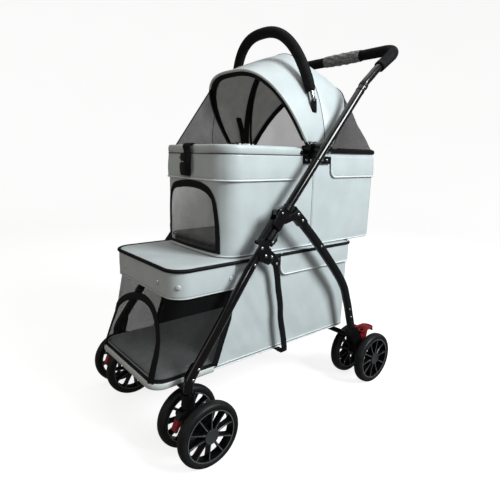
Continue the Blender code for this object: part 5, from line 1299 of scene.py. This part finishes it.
def build_buckle():
    """Webbing over the front rim with a side-release buckle, and the loose loop of its tail."""
    x = -0.003
    z = spans(0.648, 0.708, 30)
    points, _ = CARRIER_WALL.on([CARRIER_WALL.u_of_x(x, v) for v in z], z, 0.0062)
    over = points[-1]
    steps = ((-0.0018, 0.0060), (-0.0030, 0.0120), (0.0010, 0.0182), (0.0080, 0.0200), (0.0150, 0.0180),
             (0.0195, 0.0110), (0.0205, 0.0), (0.0205, -0.0250))
    path = smooth_path([*points[::5], over, *(over + np.array((0, a, b)) for a, b in steps)], 6)
    tape("front_buckle_strap", path, np.cross(tangents(path), (1.0, 0, 0)), 0.0330, 0.0020)
    steps = ((0.013, -0.0026, 0.0040), (0.0160, -0.0075, -0.0100), (0.0215, -0.0120, -0.0290),
             (0.0190, -0.0105, -0.0470), (0.0080, -0.0050, -0.0600))
    tail = smooth_path(over + np.array(steps), 8)
    tape("front_buckle_tail", tail, np.cross(tangents(tail), (0.94, 0.34, 0)), 0.0150, 0.0018)
    points, normals = CARRIER_WALL.on([CARRIER_WALL.u_of_x(x - 0.004, 0.672)], [0.676], 0.0100)
    centre, out, up = points[0], normals[0], np.array((0, 0, 1.0))
    across = unit(np.cross(up, out))
    parts = []
    taper = 1 - 0.20 * np.abs(np.linspace(-1, 1, 14)) ** 3
    for low, high, width, depth in ((-0.030, 0.004, 0.0180, 0.0072), (0.0058, 0.0265, 0.0170, 0.0062)):
        line = [centre + up * r for r in np.linspace(low, high, 14)]
        parts.append(sweep(None, line, disc((width, depth), 28, 3.6), normals=out, scales=taper))
    for sign in (-1, 1):
        line = [centre + up * r + across * sign * (0.0182 - 0.0018 * abs(r + 0.010) / 0.012)
                for r in np.linspace(-0.022, 0.001, 8)]
        parts.append(sweep(None, line, disc((0.0032, 0.0046), 14, 3), normals=out))
    bar = [centre + out * 0.0064 + up * 0.015 + across * t for t in (-0.014, 0, 0.014)]
    parts.append(tube(None, bar, 0.0020, sides=10))
    joined("front_buckle_body", parts, 50, node="front_buckle")


# ---------------------------------------------------------------- canopy
def mixed_arch(a, b, share, count, lift=0.0):
    """The arch that lies that share of the way from bow a to bow b, pushed out by lift at its middle."""
    power, foot = (a[key] + (b[key] - a[key]) * share for key in ("power", "foot"))
    top = [p + (q - p) * share for p, q in zip(a["top"], b["top"])]
    half = BOW_HALF + 0.0052 + lift * 0.6
    dense = arch(half, (foot, BOW_PIVOT_Z), (top[0], top[1] + 0.0045 + lift), power, 481)
    return even(dense[dense[:, 2] >= CLOTH_BASE_Z], count)


def canopy_grid(a, b, rows, count, swell, seed):
    bulge = np.sin(np.pi * np.linspace(0, 1, rows))
    shares = np.linspace(0, 1, rows)
    grid = np.array([mixed_arch(a, b, share, count, swell * lift) for share, lift in zip(shares, bulge)])
    normals, _ = grid_normals(grid, False, (0, 0.1, 0.75))
    wave = fold(grid, seed, (7, 9, 7)) * 0.0022 + fold(grid, seed + 4, (20, 24, 20)) * 0.0006
    return grid + normals * (wave * np.maximum(bulge, 0)[:, None] ** 0.7)[..., None]


def build_canopy():
    """The two cloths, and on their bows the rolled edge, tapes, seam and piping. Returns the front cloth, its rolled
    edge and its front tape.
    """
    cloths = []
    for name, a, b, swell, seed, node, body in (
        ("canopy_front_leather", FRONT_HOOP, RIDGE, 0.0026, 2.2, "canopy_front", None),
        ("canopy_rear_leather", RIDGE, REAR_HOOP, 0.0060, 6.4, "canopy_rear", "chassis"),
    ):
        grid = canopy_grid(a, b, 44, 150, swell, seed)
        cloths.append(shell(name, grid, 0.0018, [GREY, LINING], (0, 0.1, 0.78), "stretched", "canopy_fixed_bows",
                            body=body, node=node))
    edge = mixed_arch(FRONT_HOOP, RIDGE, 0.0, 160)
    lean = unit(np.array((0.0, FRONT_HOOP["top"][0] - FRONT_HOOP["foot"], FRONT_HOOP["top"][1] - BOW_PIVOT_Z)))
    forward = unit(np.cross(lean, (1.0, 0, 0)))
    forward = forward if forward[1] < 0 else -forward
    roll = tube("canopy_front_roll", edge + forward * 0.0012, 0.0036, GREY_TRIM, sides=18, body=None)
    inward = unit(np.array((0, 0.0, 0.80)) - edge)
    inward = unit(inward - (inward @ forward)[:, None] * forward)
    section = [(-0.0064, -0.0008), (-0.0064, 0.0008), (0, 0.0018), (0.0064, 0.0008), (0.0064, -0.0008)]
    line = edge + inward * 0.0098 + forward * 0.0010
    band = sweep("canopy_front_tape", line, section, TAPE, normals=forward, body=None)
    ridge = mixed_arch(RIDGE, REAR_HOOP, 0.0, 160)
    sweep("canopy_ridge_seam", ridge, disc(0.0010, 8), DARK_THREAD)
    inward = unit(np.array((0, 0.1, 0.80)) - ridge)
    tape("canopy_ridge_tape", ridge + inward * 0.0034, inward, 0.020, 0.0016)
    edge = mixed_arch(RIDGE, REAR_HOOP, 1.0, 160)
    tube("canopy_rear_piping", edge, 0.0020, TAPE, sides=12)
    inward = unit(np.array((0, 0.2, 0.80)) - edge)
    tape("canopy_rear_tape", edge + inward * 0.0034 - np.array((0, 0.004, 0)), inward, 0.014, 0.0016)
    return [cloths[0], roll, band]


def between(first, last, rows):
    """Grid points from one line to another, and how far each row is from both of them."""
    shares = np.linspace(0, 1, rows)
    grid = first[None] * (1 - shares)[:, None, None] + last[None] * shares[:, None, None]
    return grid, np.sin(np.pi * shares)[:, None]


def build_nets():
    """The net behind, and the side net; returns the side net's pieces."""
    wall = CARRIER_WALL
    # Behind: from the rear hoop down to the rear of the rim
    right, left = wall.both_u(0.165, 0.71)
    us = np.linspace(right, left - 1, 400)
    rim = even(wall.bare(us, 0.7225) - wall.side(us, 0.7225) * 0.004, 140)
    grid, sag = between(mixed_arch(RIDGE, REAR_HOOP, 1.0, 140) + np.array((0, 0.0015, 0)), rim, 46)
    normals, _ = grid_normals(grid, False, (0, 0.2, 0.74))
    wave = 0.0026 * fold(grid, 4.4, (30, 12, 22)) + 0.0018 * fold(grid, 7.7, (70, 30, 50))
    grid = grid + normals * ((wave - 0.0005) * sag)[..., None]
    shell("canopy_rear_net", grid, 0.0007, NET, (0, 0.2, 0.74), "stretched", "carrier_rim_tube", node="rear_mesh")
    sweep("canopy_rear_net_binding", rim[8:-8], disc(0.0030, 12), TAPE)
    # In front, on the far side: a triangle from the front hoop down to the rim
    hoop = mixed_arch(FRONT_HOOP, RIDGE, 0.0, 240)
    hoop = even(hoop[(hoop[:, 0] < -0.05) & (hoop[:, 2] < 0.885)][::-1], 60) + np.array((0.004, 0, 0))
    us = np.array([wall.u_of_y(y, 0.71, -1) for y in np.linspace(0.040, -0.165, 60)])
    foot = wall.bare(us, 0.71) - wall.side(us, 0.71) * 0.004
    foot[:, 2] = 0.7215
    grid, sag = between(hoop, foot, 40)
    grid = grid + np.array((1.0, 0, 0)) * (0.0030 * fold(grid, 1.4, (20, 14, 22)) * sag)[..., None]
    mesh = shell("canopy_side_net", grid, 0.0007, SIDE_NET, (0, 0.0, 0.78), "stretched", "carrier_rim_wrap",
                 body=None, node="side_mesh")
    line = even([hoop[-1], (hoop[-1] + foot[-1]) / 2, foot[-1]], 30)
    border = tube("canopy_side_net_edge", line, 0.0016, TAPE, sides=10, body=None)
    line = smooth_path([grid[row, round(34 - 14 * row / 39)] for row in range(0, 40, 13)], 8)
    return [mesh, border, tube("canopy_side_net_seam", line, 0.0008, TAPE, sides=8, body=None)]


build_wheels()
build_rivets()
build_tubes()
build_knuckles()
build_hanger()
build_hubs()
build_handle()
build_carry_handle()
build_basket()
build_deck()
build_carrier()
build_rim()
build_buckle()
front_cloths = build_canopy()
side_net = build_nets()
build_pedals()
low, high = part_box("carrier_floor_pad")
cushion("carrier_cushion", (-0.1455, -0.1965, low[2]), (0.1455, high[1], high[2]), 0.046, 0.002, PAD, 0.002,
        "carrier_floor_pad")
# The lower cushion wears the paler, faintly glowing cloth, which is painted light
cushion("lower_cushion", (-0.1545, -0.3965, FLOOR_TOP), (0.1545, 0.264, 0.198), 0.034, 0.003, FLOOR_PAD_PAINTED_LIGHT, 0.004)

# The front cloth's pieces and the side net's pieces have their placement baked into their meshes
for cloths, start, end in (
    (front_cloths, (0, 0.098, 0.86), (0, 0.000, 0.80)), (side_net, (0, -0.099, 0.769), (0, -0.018, 0.8275)),
):
    for cloth in cloths:
        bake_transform(cloth)
